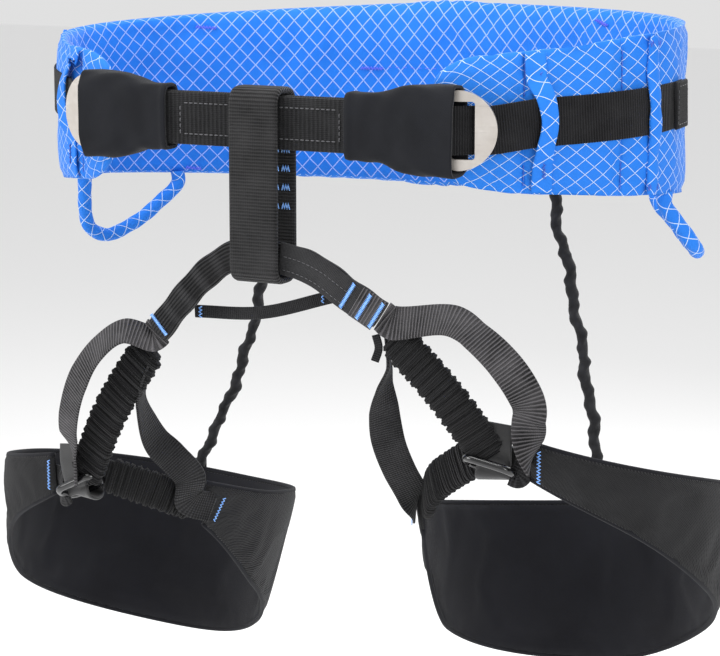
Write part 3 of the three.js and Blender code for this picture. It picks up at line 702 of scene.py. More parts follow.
def webbing(name, shaded_valley_colour, lit_crown_colour, rib, yarn, deep, distance=0.0002, roughness=0.72):
    material, tree, shader = dark_cloth(name, roughness, 0.45)
    pattern = use(tree, ribs, **{"Rib": rib, "Yarn": yarn, "Deep yarns": deep})
    # Painted light: rib valleys take the darker colour as painted shade, rib crowns the lighter one
    # as painted highlight.
    painted_rib_light = mixed(tree, pattern["Lit crown"], shaded_valley_colour, lit_crown_colour)
    dusty = tuple(min(c * 1.5 + 0.01, 1) for c in lit_crown_colour)
    handled(tree, shader, 0.02, 0.45, painted_rib_light, dusty)
    bumped(tree, shader, pattern["Height"], distance)
    return material


# Each webbing's first colour is its painted rib shade and its second its painted rib highlight.
BLACK_WEBBING = webbing(
    "black_webbing", (0.002, 0.002, 0.0025), (0.011, 0.011, 0.0125), 1.45, 1.2, 0.3
)


def strap_section(width, thick, rows=8):
    """A webbing's section: flat faces and soft, slightly full edges."""
    half = thick / 2
    face = np.linspace(-1, 1, rows + 1) * (width / 2 - half)
    rim = np.linspace(0, math.pi, 5)[1:-1]
    across = np.concatenate(
        (
            face, width / 2 - half + half * np.sin(rim), face[::-1],
            half - width / 2 - half * np.sin(rim)
        )
    )
    out = np.concatenate(
        (np.full(rows + 1, -half), -half * np.cos(rim), np.full(rows + 1, half), half * np.cos(rim))
    )
    return np.stack((across, out), axis=1)


def curve(points, count):
    """A smooth line through points, as the straps are laid out in the harness's pattern."""
    p = [np.asarray(q, float) for q in points]
    p = [2 * p[0] - p[1], *p, 2 * p[-1] - p[-2]]
    made = []
    for u in np.linspace(0, len(points) - 1, count):
        i = min(int(u), len(points) - 2)
        a, b, c, d = p[i : i + 4]
        s = [max(np.linalg.norm(x - y) ** 0.5, 1e-4) for x, y in ((a, b), (b, c), (c, d))]
        out_b = ((b - a) / s[0] - (c - a) / (s[0] + s[1]) + (c - b) / s[1]) * s[1]
        out_c = ((c - b) / s[1] - (d - b) / (s[1] + s[2]) + (d - c) / s[2]) * s[1]
        t = u - i
        cube = 2 * b - 2 * c + out_b + out_c
        square = 3 * c - 3 * b - 2 * out_b - out_c
        made.append(b + t * (out_b + t * (square + t * cube)))
    return np.array(made)


def spread(values, count):
    """Values, such as edge directions, spread evenly over count points."""
    values = np.asarray(values, float)
    at = np.linspace(0, len(values) - 1, count)
    return read_at(at, range(len(values)), values)


def mirrored(point):
    return np.array((-point[0], point[1], point[2]))


def on_plate(along, out, sign):
    x = BAR_X + along * math.cos(PLATE_YAW) + out * math.sin(PLATE_YAW)
    y = BRIDGE_Y + along * math.sin(PLATE_YAW) - out * math.cos(PLATE_YAW)
    return np.array((sign * x, y, BRIDGE_Z))


def tail_point(turn, sign, out=TAIL_OUT):
    lift = TAIL_LIFT * (TIP_TURN[1] - turn) / (TIP_TURN[1] - TAIL_RISEN)
    return on_belt(sign * turn, BRIDGE_Z + lift, out)


for side, sign in SIDES.items():
    route = [on_plate(*p, sign) for p in ((7, 3.2), (11, 2.7), (17, 0), (23, -3), (31, -3.6))]
    route.append(tail_point(FRONT_KEEPER + 1, sign, TAIL_OUT + 1.6))
    route += [tail_point(t, sign) for t in range(FRONT_KEEPER - 8, TAIL_ENDS[side] + 4, -8)]
    end_turn = TAIL_ENDS[side]
    out = belt_out(sign * end_turn)
    route.append(tail_point(end_turn, sign))
    line = curve(route, 110)
    tail = sweep(line, UP, strap_section(WEBBING_WIDTH, WEBBING))
    build(
        side + "_webbing_tail", [tail], BLACK_WEBBING, "waist",
        [side + "_webbing_tail"]
    )
    # The hem is three layers thick, with its fold at the free end.
    hem = [tail_point(t, sign, HEM_OUT) for t in np.linspace(end_turn - 0.6, end_turn + 5.6, 12)]
    fold = sweep(hem, UP, strap_section(WEBBING_WIDTH + 0.4, 2.2))
    rows = [[p + UP * z + out * 1.1 for p in hem[1:-1]] for z in (-10, 10)]
    rows += [[hem[i] + UP * z + out * 1.1 for z in np.linspace(-10, 10, 9)] for i in (1, 10)]
    build(
        side + "_webbing_tail_hem", [fold], BLACK_WEBBING, "waist",
        [side + "_webbing_tail_hem"]
    )
    sewn = [s for row in rows for s in stitches(row, out, 2.0, 0.7, 0.2)]
    build(side + "_hem_stitches", sewn, GREY_THREAD, "waist")

# ---- Keepers -------------------------------------------------------------------------------
# Two bands of the belt's cloth on each side hold the webbing down. The front one is a folded
# strip that twists a little over the webbing. The one at the side is rolled into a soft tube.
KEEPER_WIDTH = 11
for side, sign in SIDES.items():
    turn = sign * FRONT_KEEPER
    low, high, out = belt_bottom(turn) + 1.5, belt_top(turn) - 1.5, belt_out(turn)
    middle = tail_point(FRONT_KEEPER, sign)[2]
    heights = (
        low, low + 7, middle - 22, middle - 13.5, middle, middle + 13.5, middle + 22, high - 7, high
    )
    stands = (4.6, 5.9, 6.2, 9.4, 10.6, 9.4, 6.2, 5.9, 4.6)
    sideways = (0, 0, 0.1, 0.4, 1.2, 0.3, -1.2, -1.4, -1.4)
    route = [on_belt(turn - sign * s, z, o) for z, o, s in zip(heights, stands, sideways)]
    edge = np.cross(out, UP)
    tilt = np.array((0, 0, 0.05, 0.16, 0.1, -0.14, -0.2, -0.05, 0))
    count = 60
    lean = np.interp(np.linspace(0, 8, count), range(9), tilt)
    edges = edge[None] + out[None] * lean[:, None] * 1.6
    section = np.repeat(strap_section(KEEPER_WIDTH, 1.5)[None], count, axis=0)
    squeeze = 1 - 0.16 * np.exp(-(((np.linspace(0, 1, count) - 0.5) / 0.16) ** 2))
    section[..., 0] *= squeeze[:, None]
    band = sweep(curve(route, count), edges, section)
    build(side + "_front_keeper", [band], RIPSTOP_OUT, "waist", [side + "_front_keeper"])
    bars = [
        bartack(on_belt(turn + sign * d, z, 6.9), UP, out, 11, 1.5, 1.1, 0.3)
        for z, d in ((high - 15, 0.4), (low + 13, -0.3))
    ]
    build(side + "_front_keeper_bartacks", bars, NAVY_THREAD, "waist")

    turn = sign * SIDE_KEEPERS[side]
    low, high, out = belt_bottom(turn) + 1, belt_top(turn) - 1, belt_out(turn)
    middle = tail_point(SIDE_KEEPERS[side], sign)[2]
    heights = np.linspace(low, high, 9)
    over = np.exp(-(((heights - middle) / 17) ** 4))
    route = [
        on_belt(turn + sign * 0.5 * math.sin(z / 12), z, 6.4 + 3.0 * o)
        for z, o in zip(heights, over)
    ]
    line = curve(route, 70)
    share = np.linspace(0, 1, 70)
    swell = 1 + 0.08 * np.sin(share * 19) + 0.05 * np.sin(share * 41 + 1)
    swell *= 1 - 0.4 * np.exp(-share / 0.03) - 0.4 * np.exp(-(1 - share) / 0.03)
    tube = round_section(1.0, 20)[None] * np.stack((4.0 * swell, 2.0 * swell), axis=1)[:, None]
    edge = np.cross(out, UP)
    build(
        side + "_side_keeper", [sweep(line, edge, tube)], RIPSTOP_OUT, "waist",
        [side + "_side_keeper"]
    )
    bars = [
        bartack(on_belt(turn, z, 7.6), edge, out, 8, 3.2, 0.9, 0.3) for z in (low + 4, high - 4)
    ]
    build(side + "_side_keeper_bartacks", bars, NAVY_THREAD, "waist")

# ---- Tie-in bridge -------------------------------------------------------------------------
# Several layers of black webbing that run from buckle to buckle, with a ribbed strip stitched
# on the front in one long box.
BRIDGE_HEIGHT = 28.8
BRIDGE_CORE = 5.2
BRIDGE_STRIP = webbing(
    "bridge_strip_webbing", (0.002, 0.002, 0.0025), (0.015, 0.015, 0.0165), 2.6, 1.0, 1.4, 0.00016
)


def twist_bridge(piece):
    """Bakes the piece's placing into its mesh."""
    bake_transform(piece)


for side, sign in SIDES.items():
    route = [np.array((sign * x, BRIDGE_Y, BRIDGE_Z)) for x in np.linspace(0, BAR_X - 3, 80)]
    core = sweep(route, UP, strap_section(BRIDGE_HEIGHT, BRIDGE_CORE, 14))
    strip_route = [
        np.array((sign * x, BRIDGE_Y - BRIDGE_CORE / 2 - 0.6, BRIDGE_Z))
        for x in np.linspace(0, 60, 50)
    ]
    strip = sweep(strip_route, UP, strap_section(BRIDGE_HEIGHT - 1, 1.3, 14))
    band = build(
        side + "_bridge_webbing", [core], BLACK_WEBBING, None,
        [side + "_bridge_end", "tie_in_bridge"]
    )
    twist_bridge(band)
    facing = build(
        side + "_bridge_strip", [strip], BRIDGE_STRIP, None, ["bridge_cover"]
    )
    twist_bridge(facing)
    front = BRIDGE_Y - BRIDGE_CORE / 2 - 1.3
    rows = [[(sign * x, front, BRIDGE_Z + z) for x in np.linspace(0, 48, 20)] for z in (-8.2, 8.2)]
    rows.append([(sign * 48, front, BRIDGE_Z + z) for z in np.linspace(-8.2, 8.2, 9)])
    box_rows = [s for row in rows for s in stitches(row, (0, -1, 0), 2.2, 0.9, 0.32)]
    sewn = build(side + "_bridge_stitches", box_rows, GREY_THREAD, None)
    twist_bridge(sewn)

# ---- Sleeves -------------------------------------------------------------------------------
# A soft neoprene tube, covered with a fine black knit, hides each sewn end of the bridge and
# the buckle's bar. It is stretched over them, so it shows shallow folds and a rolled lip.
SLEEVE_ENDS = {"left": (52, 114), "right": (56, 109)}
NEOPRENE, tree, shader = dark_cloth("knitted_neoprene", 0.88)
handled(tree, shader, 0.025, 0.6, (0.006, 0.0065, 0.0085), (0.013, 0.014, 0.018))
bumped(tree, shader, use(tree, weave, Along=0.9, Around=0.7, Uneven=0.5)["Height"], 0.00012)


def round_turn(count):
    return np.linspace(0, 2 * math.pi, count, endpoint=False)


def squared(wave, power):
    """A sine or cosine pushed out towards a square."""
    return np.sign(wave) * np.abs(wave) ** power


for side, sign in SIDES.items():
    count = 90
    mouth_x, end_x = SLEEVE_ENDS[side]
    angle = round_turn(56)
    square_out, square_up = squared(np.cos(angle), 0.46), squared(np.sin(angle), 0.46)
    layers = []
    for shell in (0, 1):
        share = np.linspace(0, 1, count)
        if shell:
            share = share[::-1]
        rings = []
        for s in share:
            swell = min(max(s / 0.75, 0), 1)
            swell = swell * swell * (3 - 2 * swell)
            deep = 15 + 5 * swell
            tall = 35 + 12.2 * swell
            lip = math.exp(-(((s - 0.035) / 0.03) ** 2))
            wall = 0.7 + 0.5 * lip if shell == 0 else -0.8
            fold = 1.1 * np.sin(9 * s + 2.2 * angle + 1) * np.sin(3 * angle + 5 * s) * (0.3 + s)
            fold += 0.45 * np.sin(21 * s - 3 * angle) * math.exp(-(((s - 0.35) / 0.25) ** 2))
            pinch = 1 - 0.06 * math.exp(-(((s - 0.3) / 0.12) ** 2))
            mouth = 0.8 * math.sin(2.1) * np.sin(2 * angle + 0.7) * s**6
            x = mouth_x + (end_x - mouth_x) * s + mouth
            out = square_out * (deep / 2 - 0.9 + wall + fold * 0.55)
            up = square_up * (tall / 2 * pinch - 0.9 + wall + fold * 0.55)
            rings.append(np.stack((sign * x, BRIDGE_Y + swell - out, BRIDGE_Z + up), axis=1))
        layers += rings
    layers = np.array(layers)
    along = np.concatenate((lengths(layers[:count, 0]), lengths(layers[count:, 0]) + 62, [190]))
    around = lengths(np.vstack((layers[count // 2], layers[count // 2][:1])))
    tube = build(
        side + "_sleeve", [skin(layers, along, around, closed=True)], NEOPRENE, side + "_sleeve",
        [side + "_sleeve"]
    )

# ---- Belay loop ----------------------------------------------------------------------------
# One closed loop of doubled 29 mm webbing. Its overlap hangs at the back, held by four blue
# bars of zigzag, and its cross ribs catch the light where it turns over the bridge.
LOOP_WIDTH = 29
LOOP_THICK = 3.6
LOOP_DEPTH = 16
LOOP_TOP = BRIDGE_Z + BRIDGE_HEIGHT / 2 + 0.6
LOOP_BOTTOM = -79.4
LOOP_CORNER = 5
BELAY_WEBBING = webbing(
    "belay_loop_webbing", (0.003, 0.003, 0.0035), (0.0225, 0.022, 0.023), 1.75, 1.1, 0.35, 0.0003,
    0.6
)


def rounded_box(low_a, high_a, low_b, high_b, radius, straight=3.0):
    """Points round a box with round corners, in order."""
    corners = ((high_a, low_b, -90), (high_a, high_b, 0), (low_a, high_b, 90), (low_a, low_b, 180))
    points = []
    for a, b, start in corners:
        centre = np.array(
            (
                a - math.copysign(radius, a - (low_a + high_a) / 2),
                b - math.copysign(radius, b - (low_b + high_b) / 2)
            )
        )
        for angle in np.radians(np.linspace(start, start + 90, 7)):
            points.append(centre + radius * np.array((math.cos(angle), math.sin(angle))))
    filled = []
    for p, q in zip(points, points[1:] + points[:1]):
        parts = max(int(np.linalg.norm(q - p) / straight), 1)
        filled += [p + (q - p) * k / parts for k in range(parts)]
    return np.array(filled)


half = LOOP_THICK / 2
outline = rounded_box(
    -LOOP_DEPTH / 2 - half, LOOP_DEPTH / 2 + half, LOOP_BOTTOM - half, LOOP_TOP + half,
    LOOP_CORNER + half
)
loop_line = np.stack((np.zeros(len(outline)), BRIDGE_Y + outline[:, 0], outline[:, 1]), axis=1)
loop_section = strap_section(LOOP_WIDTH, LOOP_THICK, 14)
build(
    "belay_loop", [sweep(loop_line, (1, 0, 0), loop_section, closed=True)], BELAY_WEBBING,
    "belay_loop", ["belay_loop"]
)
bars = []
for z in (-13, -23, -33, -43):
    for x in (-9, -3, 3, 9.5):
        centre = (x, BRIDGE_Y + LOOP_DEPTH / 2 - 0.2, z)
        bars.append(bartack(centre, (1, 0, 0), (0, -1, 0), 4.6, 3.4, 0.75, 0.3))
build("belay_loop_bartacks", bars, BLUE_THREAD, "belay_loop")

# ---- Leg arch ------------------------------------------------------------------------------
# The strap that the leg loops hang from. It is a tube of black webbing with fine lengthwise
# ribs, and a grey facing with two rows of white stitches on the wearer's left half. A thin
# strap ties its two sides together under the belay loop.
ARCH_Z = -69.4
ARCH_WIDTH = 16
ARCH_END = {"left": np.array((68, -106, -96.0)), "right": np.array((68, -106, -115.0))}
arch_shoulder = {
    k: np.array((e[0] - 17, e[1] - 3, ARCH_Z + 0.6 * (e[2] - ARCH_Z))) for k, e in ARCH_END.items()
}
left_end, right_end = ARCH_END["left"], ARCH_END["right"]
arch_route = [
    mirrored(right_end),
    mirrored(arch_shoulder["right"]),
    (-34, BRIDGE_Y, ARCH_Z + 0.24 * (right_end[2] - ARCH_Z)),
    (-15, BRIDGE_Y, ARCH_Z),
    (15, BRIDGE_Y, ARCH_Z),
    (34, BRIDGE_Y, ARCH_Z + 0.2 * (left_end[2] - ARCH_Z)),
    arch_shoulder["left"],
    left_end,
]
ARCH_COUNT = 141
arch_line = curve(arch_route, ARCH_COUNT)
arch_across, arch_out = frames(arch_line, UP)
ARCH_TUBE = webbing(
    "arch_tube_webbing", (0.003, 0.003, 0.0035), (0.02, 0.02, 0.0215), 14.0, 1.9, 2.2, 0.0003
)
ARCH_GREY = webbing(
    "arch_grey_facing", (0.01, 0.01, 0.011), (0.029, 0.029, 0.0305), 0.8, 0.8, 0.8, 0.0001
)
GREY_WEBBING = webbing(
    "grey_leg_webbing", (0.003, 0.003, 0.0035), (0.0863, 0.0825, 0.087), 1.9, 1.0, 0.25, 0.0004, 0.6
)
share = np.linspace(0, 1, ARCH_COUNT)
roll = 1 + 0.04 * np.sin(share * 50)
section = strap_section(ARCH_WIDTH, 5.6, 8)
section[:, 1] *= 1 + 0.25 * (1 - (section[:, 0] / (ARCH_WIDTH / 2)) ** 2)
tube = sweep(arch_line, UP, section[None] * roll[:, None, None])
build(
    "leg_arch_webbing", [tube], ARCH_TUBE, "leg_arch",
    ["leg_arch_webbing", "arch_backing"]
)
FACED = slice(78, 128)
faced_line = arch_line[FACED] + arch_out[FACED] * 4.1
facing = sweep(faced_line, arch_across[FACED], strap_section(ARCH_WIDTH + 1.2, 1.4))
build("arch_facing", [facing], ARCH_GREY, "leg_arch", ["arch_facing"])
rows = []
for z in (-5.6, 1.5):
    row = faced_line[2:-2] + arch_across[FACED][2:-2] * z + arch_out[FACED][2:-2] * 0.8
    rows += stitches(row, arch_out[FACED][2:-2], 1.9, 0.9, 0.17)
build("arch_running_stitches", rows, GREY_THREAD, "leg_arch")
joined_line = arch_line[126:] + arch_out[126:] * 4.3
build(
    "arch_ribbed_end",
    [sweep(joined_line, arch_across[126:], strap_section(ARCH_WIDTH + 1.6, 1.5))], GREY_WEBBING,
    "leg_arch"
)
bars = []
for i, out in ((121, 5.0), (131, 5.3), (139, 5.3), (4, 3.9)):
    centre = arch_line[i] + arch_out[i] * out
    bars.append(bartack(centre, arch_across[i], arch_out[i], 15, 2.1, 0.42, 0.32))
build("arch_bartacks", bars, BLUE_THREAD, "leg_arch")
tie_y = BRIDGE_Y + 5.4
tie_route = [
    (-47, tie_y + 2, ARCH_Z + 0.75 * (right_end[2] - ARCH_Z)),
    (-6, tie_y + 3, ARCH_Z + 0.7 * (right_end[2] - ARCH_Z)),
    (37, tie_y + 2, ARCH_Z + 0.75 * (left_end[2] - ARCH_Z)),
]
tie_line = curve(tie_route, 60)
THIN_TAPE = webbing(
    "thin_black_tape", (0.002, 0.002, 0.0025), (0.0175, 0.0175, 0.019), 1.2, 1.0, 0.5, 0.00015
)
build(
    "arch_tie", [sweep(tie_line, UP, strap_section(7, 1.3))], THIN_TAPE, "leg_arch",
    ["arch_tie"]
)
bars = [bartack(tie_line[3] + np.array((0, -1.6, 0)), UP, (0, -1, 0), 6, 2.2, 0.9, 0.3)]
bars.append(bartack(tie_line[-4] + np.array((0, -1.6, 0)), UP, (0, -1, 0), 4, 1.6, 0.9, 0.3))
build("arch_tie_bartacks", bars, BLUE_THREAD, "leg_arch")
loose_end = [(64, -104, -107), (66, -104.5, -114), (64, -105, -121)]
build(
    "arch_loose_tape_end", [sweep(curve(loose_end, 12), (1, 0.3, 0), strap_section(4.4, 1.2))],
    THIN_TAPE, "leg_arch"
)

# ---- Leg pads ------------------------------------------------------------------------------
# Each leg loop is a thin foam pad that wraps round the back of the thigh. It is covered with
# grey ribbed twill outside and soft dark cloth inside, and bound along its rims.
PAD_ANGLES = {
    "front": -82, "front_side": -44, "side": -5, "side_back": 45, "back": 98, "inside": 178
}
PAD_LEAN = 7
LEGS = {
    "left": {
        "thigh": 133,
        "radius": 87,
        "tops": (-160, -189, -231, -222, -195),
        "heights": (20, 36, 59, 80, 92, 73, 32),
        "end": 208,
        "tilt": 0,
        "ring_roll": 8,
        "elastic_from": 6,
        "elastic_to": 1.5,
        "inner_from": -1,
        "front_bar": 3.4,
        "inner_bar": UP,
        "bow": (
            (109.9, -107, -95.6), (125.8, -108, -103.7), (139.2, -109, -114), (148.9, -108, -126.2),
            (151.6, -103, -137.1), (149.7, -99, -147.3), (148.3, -96, -160.3), (147.4, -93, -172)
        ),
        "bow_edges": (
            (0.1, 0.75, 0.6), (0.3, 0.6, 0.7), (0.5, 0.3, 0.75), (0.75, 0, 0.6), (0.9, -0.1, 0.35),
            (0.75, 0.4, 0.1), (0.2, 0.85, 0), (-0.36, 0.92, -0.1)
        ),
        "inner": (
            (67.5, -96, -124), (63.7, -94, -137), (61.6, -90, -150), (59.9, -82, -168),
            (59.4, -68, -187)
        ),
        "inner_edges": (
            (-0.3, 0.9, -0.1), (-0.4, 0.9, -0.1), (0, 0.9, 0), (0.5, 0.75, 0.1), (0.75, 0.4, 0.2),
            (0.6, 0.1, 0.5), (0.4, -0.3, 0.8), (0.2, -0.3, 1)
        ),
        "riser_top": (76, 97.4, -55.6),
        "riser_turn": 102,
        "riser_slack": 0,
    },
    "right": {
        "thigh": 142,
        "radius": 85,
        "tops": (-198, -219, -243, -228, -213),
        "heights": (22, 42, 80, 101, 97, 60, 26),
        "end": 216,
        "tilt": 9,
        "ring_roll": 24,
        "elastic_from": 9,
        "elastic_to": -4,
        "inner_from": 8,
        "front_bar": 1.0,
        "inner_bar": (-0.36, 0.2, 0.9),
        "bow": (
            (87, -112, -116.4), (104.5, -113, -128.3), (117.8, -112, -146.5), (127.7, -107, -166.8),
            (131.4, -103, -179.6), (131.4, -98, -191.8), (131.4, -95, -209.5)
        ),
        "bow_edges": (
            (0.2, 0.8, 0.6), (0.45, 0.6, 0.6), (0.75, 0.35, 0.4), (0.85, 0.35, 0.25),
            (0.85, 0.4, 0.1), (0.62, 0.8, 0), (0.46, 0.88, -0.17)
        ),
        "inner": (
            (80.1, -97, -137), (86.2, -95, -149.4), (90.2, -91, -160), (89.7, -86, -172.4),
            (87.1, -80, -184.7), (81.7, -73, -194.1), (75.5, -64, -207.5)
        ),
        "inner_edges": (
            (0.46, 0.87, -0.17), (0.46, 0.87, -0.17), (0.46, 0.87, -0.17), (0.3, 0.92, -0.1),
            (0, 0.95, 0.1), (-0.3, 0.8, 0.3), (-0.6, 0.45, 0.6), (-0.62, 0.33, 0.7),
            (-0.5, 0.2, 0.8), (-0.2, 0.1, 1)
        ),
        "riser_top": (105, 88, -59.2),
        "riser_turn": 76,
        "riser_slack": -8,
    },
}
# Twill: fine slanted ribs.
twill, have, give = effect("slanted_twill", {"Pitch": 1.9, "Slant": 1.0}, ("Height", "Lit crown"))
along, around = cloth_place(twill)
slanted = maths(twill, "ADD", along, maths(twill, "MULTIPLY", around, have["Slant"]))
phase = maths(twill, "DIVIDE", maths(twill, "MULTIPLY", slanted, 2 * math.pi), have["Pitch"])
wave = maths(twill, "SINE", phase)
cut = maths(twill, "SINE", maths(twill, "MULTIPLY", maths(twill, "SUBTRACT", along, around), 4.4))
crown = node(twill, "MapRange", {"Value": wave, "From Min": 0.0, "From Max": 1.0})
twill.links.new(maths(twill, "ADD", wave, maths(twill, "MULTIPLY", cut, 0.3)), give["Height"])
twill.links.new(crown.outputs[0], give["Lit crown"])

LEG_TWILL, tree, shader = dark_cloth("grey_leg_twill", 0.75)
slant = use(tree, twill, Pitch=2.0, Slant=-0.8)
# Painted light: the slanted rib crowns take the lighter colour as painted highlight, the grooves
# the darker as painted shade.
ribbed = mixed(tree, slant["Lit crown"], (0.0065, 0.0065, 0.0075), (0.029, 0.029, 0.0305))
handled(tree, shader, 0.03, 0.5, ribbed, (0.0225, 0.0225, 0.0245))
bumped(tree, shader, slant["Height"], 0.00022)
LEG_LINING, tree, shader = dark_cloth("soft_leg_lining", 0.9, 0.6)
handled(tree, shader, 0.05, 0.7, (0.0045, 0.0045, 0.0065), (0.0095, 0.01, 0.0135))
bumped(tree, shader, use(tree, weave, Along=0.8, Around=0.8, Uneven=0.9)["Height"], 0.0001)


class Leg:
    """The layout of one leg loop, in the coordinates of the wearer's left side."""

    def __init__(self, side):
        facts = LEGS[side]
        self.sign, self.facts = SIDES[side], facts
        self.end = facts["end"]
        self.top = through(
            [*(PAD_ANGLES[k] for k in ("front", "side", "back", "inside")), self.end], facts["tops"]
        )
        self.height = through([*PAD_ANGLES.values(), self.end], facts["heights"])

    def outwards(self, degrees):
        angle = math.radians(degrees)
        return np.array((math.cos(angle), math.sin(angle), 0))

    def slope(self, degrees):
        lean = math.radians(PAD_LEAN - self.facts["tilt"] * math.cos(math.radians(degrees)))
        return self.outwards(degrees) * math.sin(lean) + UP * math.cos(lean)

    def on_pad(self, degrees, down, out=0):
        """A point on the pad, `down` a share of its height and `out` mm off its middle."""
        centre = np.array((self.facts["thigh"], 0, self.top(degrees)))
        place = centre + self.outwards(degrees) * (self.facts["radius"] + out)
        return place - self.slope(degrees) * down * self.height(degrees)

    def place(self, points):
        return np.asarray(points, float) * np.array((self.sign, 1, 1))


def leg_piece(side, part, skins, material):
    """A piece that rides on the leg loop and stands for the solid of the same name."""
    name = side + "_leg_" + part
    build(name, skins, material, side + "_leg", [name])


legs = {side: Leg(side) for side in SIDES}
for side, leg in legs.items():
    angles = np.linspace(PAD_ANGLES["front"], leg.end, 130)
    rings = []
    for angle in angles:
        end = min(angle - angles[0], angles[-1] - angle)
        thin = 0.35 + 0.65 * math.sqrt(1 - (1 - min(end / 2.5, 1)) ** 2)
        up, out = pad_section(leg.height(angle), 1.25 * thin, 1.0 * thin)
        away = leg.outwards(angle)
        middle = leg.on_pad(angle, 0.5)
        rings.append(leg.place([middle + leg.slope(angle) * u + away * o for u, o in zip(up, out)]))
    rings = np.array(rings)
    along = lengths(rings[:, 0])
    around = lengths(np.vstack((rings[70], rings[70][:1])))
    pad = build(side + "_leg_pad", [skin(rings, along, around)], LEG_TWILL)
    puff(pad, rim_points(len(rings)), 0.7, 0.0008)
    line_inside(pad, LEG_LINING, FACE_ROWS)
    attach(pad, side + "_leg")
    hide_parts(side + "_leg_pad_core", side + "_leg_outer_cover", side + "_leg_inner_lining")
    # A narrow bound edge runs round both rims.
    rim_skins = []
    for j in (FACE_ROWS + 1 + RIM_POINTS // 2, RING_SIZE - 1 - RIM_POINTS // 2):
        rim_skins.append(sweep(rings[:, j], leg.sign * UP, round_section(1.25, 8) * (1.15, 1)))
    build(side + "_leg_binding", rim_skins, LEG_LINING, side + "_leg")

# ---- Gathered elastics ---------------------------------------------------------------------
# Broad elastic sewn inside a tube of black cloth that bunches up into deep cross pleats. One
# runs from the arch to the ring, and one crosses the front of the thigh.
GATHERED, tree, shader = dark_cloth("gathered_black_elastic", 0.78)
fine = use(tree, ribs, **{"Rib": 1.3, "Yarn": 0.9, "Deep yarns": 0.7})
# Painted light: the rib crowns take the lighter colour as painted highlight, the grooves the darker
# as painted shade.
lit = mixed(tree, fine["Lit crown"], (0.002, 0.002, 0.002), (0.013, 0.013, 0.0145))
handled(tree, shader, 0.01, 0.5, lit, (0.008, 0.008, 0.0095))
bumped(tree, shader, fine["Height"], 0.0002)


def gathered(line, edges, width, depth, pleat, seed):
    """A flat tube of cloth bunched into pleats `pleat` mm apart, each a little different."""
    chance = np.random.default_rng(seed)
    walked = lengths(line)
    count = len(line)
    folds = int(walked[-1] / pleat) + 3
    jitter = chance.uniform(-0.22, 0.22, folds)
    size = chance.uniform(0.65, 1.25, folds)
    slip = chance.uniform(-0.8, 0.8, folds)
    angle = round_turn(40)
    flat = np.stack((squared(np.cos(angle), 0.55), squared(np.sin(angle), 0.55)), axis=1)
    sections = []
    for s in walked:
        place = s / pleat + 0.18 * np.cos(angle) * np.interp(s / pleat, range(folds), slip)
        place = place + np.interp(s / pleat, range(folds), jitter)
        crest = np.abs(np.cos(math.pi * place)) ** 0.7
        amount = np.interp(s / pleat, range(folds), size)
        rise = (crest - 0.75) * 2.1 * amount + 0.28 * np.sin(
            2 * math.pi * s / (pleat / 2.6) + angle
        )
        end = min(s, walked[-1] - s)
        taper = min(1, 0.75 + 0.25 * end / 4)
        across = flat[:, 0] * (width / 2 - 0.8) * taper + np.cos(angle) * rise * 0.9
        out = flat[:, 1] * (depth / 2 - 0.8) * taper + np.sin(angle) * rise * 0.8
        sections.append(np.stack((across, out), axis=1))
    return sweep(line, spread(edges, count) if np.ndim(edges) > 1 else edges, np.array(sections))


def between(a, b, share, x, y, z):
    return a + (b - a) * share + np.array((x, y, z), float)


GATHER_WIDTH, GATHER_DEPTH = 21, 8
IN_PLANE = np.array((0.6, 0, 0.8))
rings_at = {}
for number, (side, leg) in enumerate(legs.items()):
    archend = ARCH_END[side]
    ring = leg.on_pad(PAD_ANGLES["front"], 0.5) + np.array((-21, -6, -4))
    rings_at[side] = ring
    start = archend + np.array((leg.facts["elastic_from"], 3.5, -11.5))
    end = ring + np.array((leg.facts["elastic_to"], -1.5, 5.5))
    line = leg.place(curve([start, between(start, end, 0.5, 3, -2, 1), end], 230))
    upper = build(
        side + "_leg_upper_elastic",
        [gathered(line, leg.place(IN_PLANE), GATHER_WIDTH + 2, GATHER_DEPTH, 5.2, 11 + number)],
        GATHERED, None, [side + "_leg_upper_elastic"]
    )
    leg.place(archend + UP * 2) * MM
    leg.place(between(start, end, 0.35, 0, 0, 0)) * MM
    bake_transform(upper)
    start = ring + np.array((-12, 7, 1 + leg.facts["ring_roll"] / 4))
    end = leg.on_pad(leg.end, 0.5, -3) + np.array((2.5, -4, 0))
    line = leg.place(curve([start, between(start, end, 0.55, -4, -5, 1), end], 190))
    leg_piece(
        side, "lower_elastic",
        [gathered(line, UP, GATHER_WIDTH + 1, GATHER_DEPTH, 4.6, 21 + number)], GATHERED
    )

# ---- Leg straps, tabs and rings ------------------------------------------------------------
# Ribbed webbing bows from the arch out to a moulded black ring, where a folded tab and the end
# of the pad meet it. A second strap twists down to the inner end of the pad.
STRAP_WIDTH, STRAP = 18, 1.5
OUTER_COUNT = 170
INNER_WEBBING = webbing(
    "inner_leg_webbing", (0.0035, 0.0035, 0.004), (0.021, 0.021, 0.0225), 1.5, 1.5, 0.9, 0.0002
)
SMOOTH_TAB, tree, shader = blank("smooth_black_tab", 0.5, Sheen_Weight=0.15)
handled(tree, shader, 0.01, 1.0, (0.002, 0.002, 0.0025), (0.006, 0.006, 0.007))
bumped(tree, shader, use(tree, weave, Along=0.6, Around=0.6)["Height"], 0.00005)
GLOSS_BLACK, tree, shader = blank("moulded_gloss_black", 0.22, Coat_Weight=0.3)
worn = handled(tree, shader, 0.006, 1.0, (0.003, 0.003, 0.0035), (0.007, 0.007, 0.008))
rough = node(tree, "MapRange", {"Value": worn, "To Min": 0.16, "To Max": 0.34})
tree.links.new(rough.outputs[0], shader.inputs["Roughness"])
RING_WIDE, RING_DEEP, RING_ROD = 22, 11, 3.6


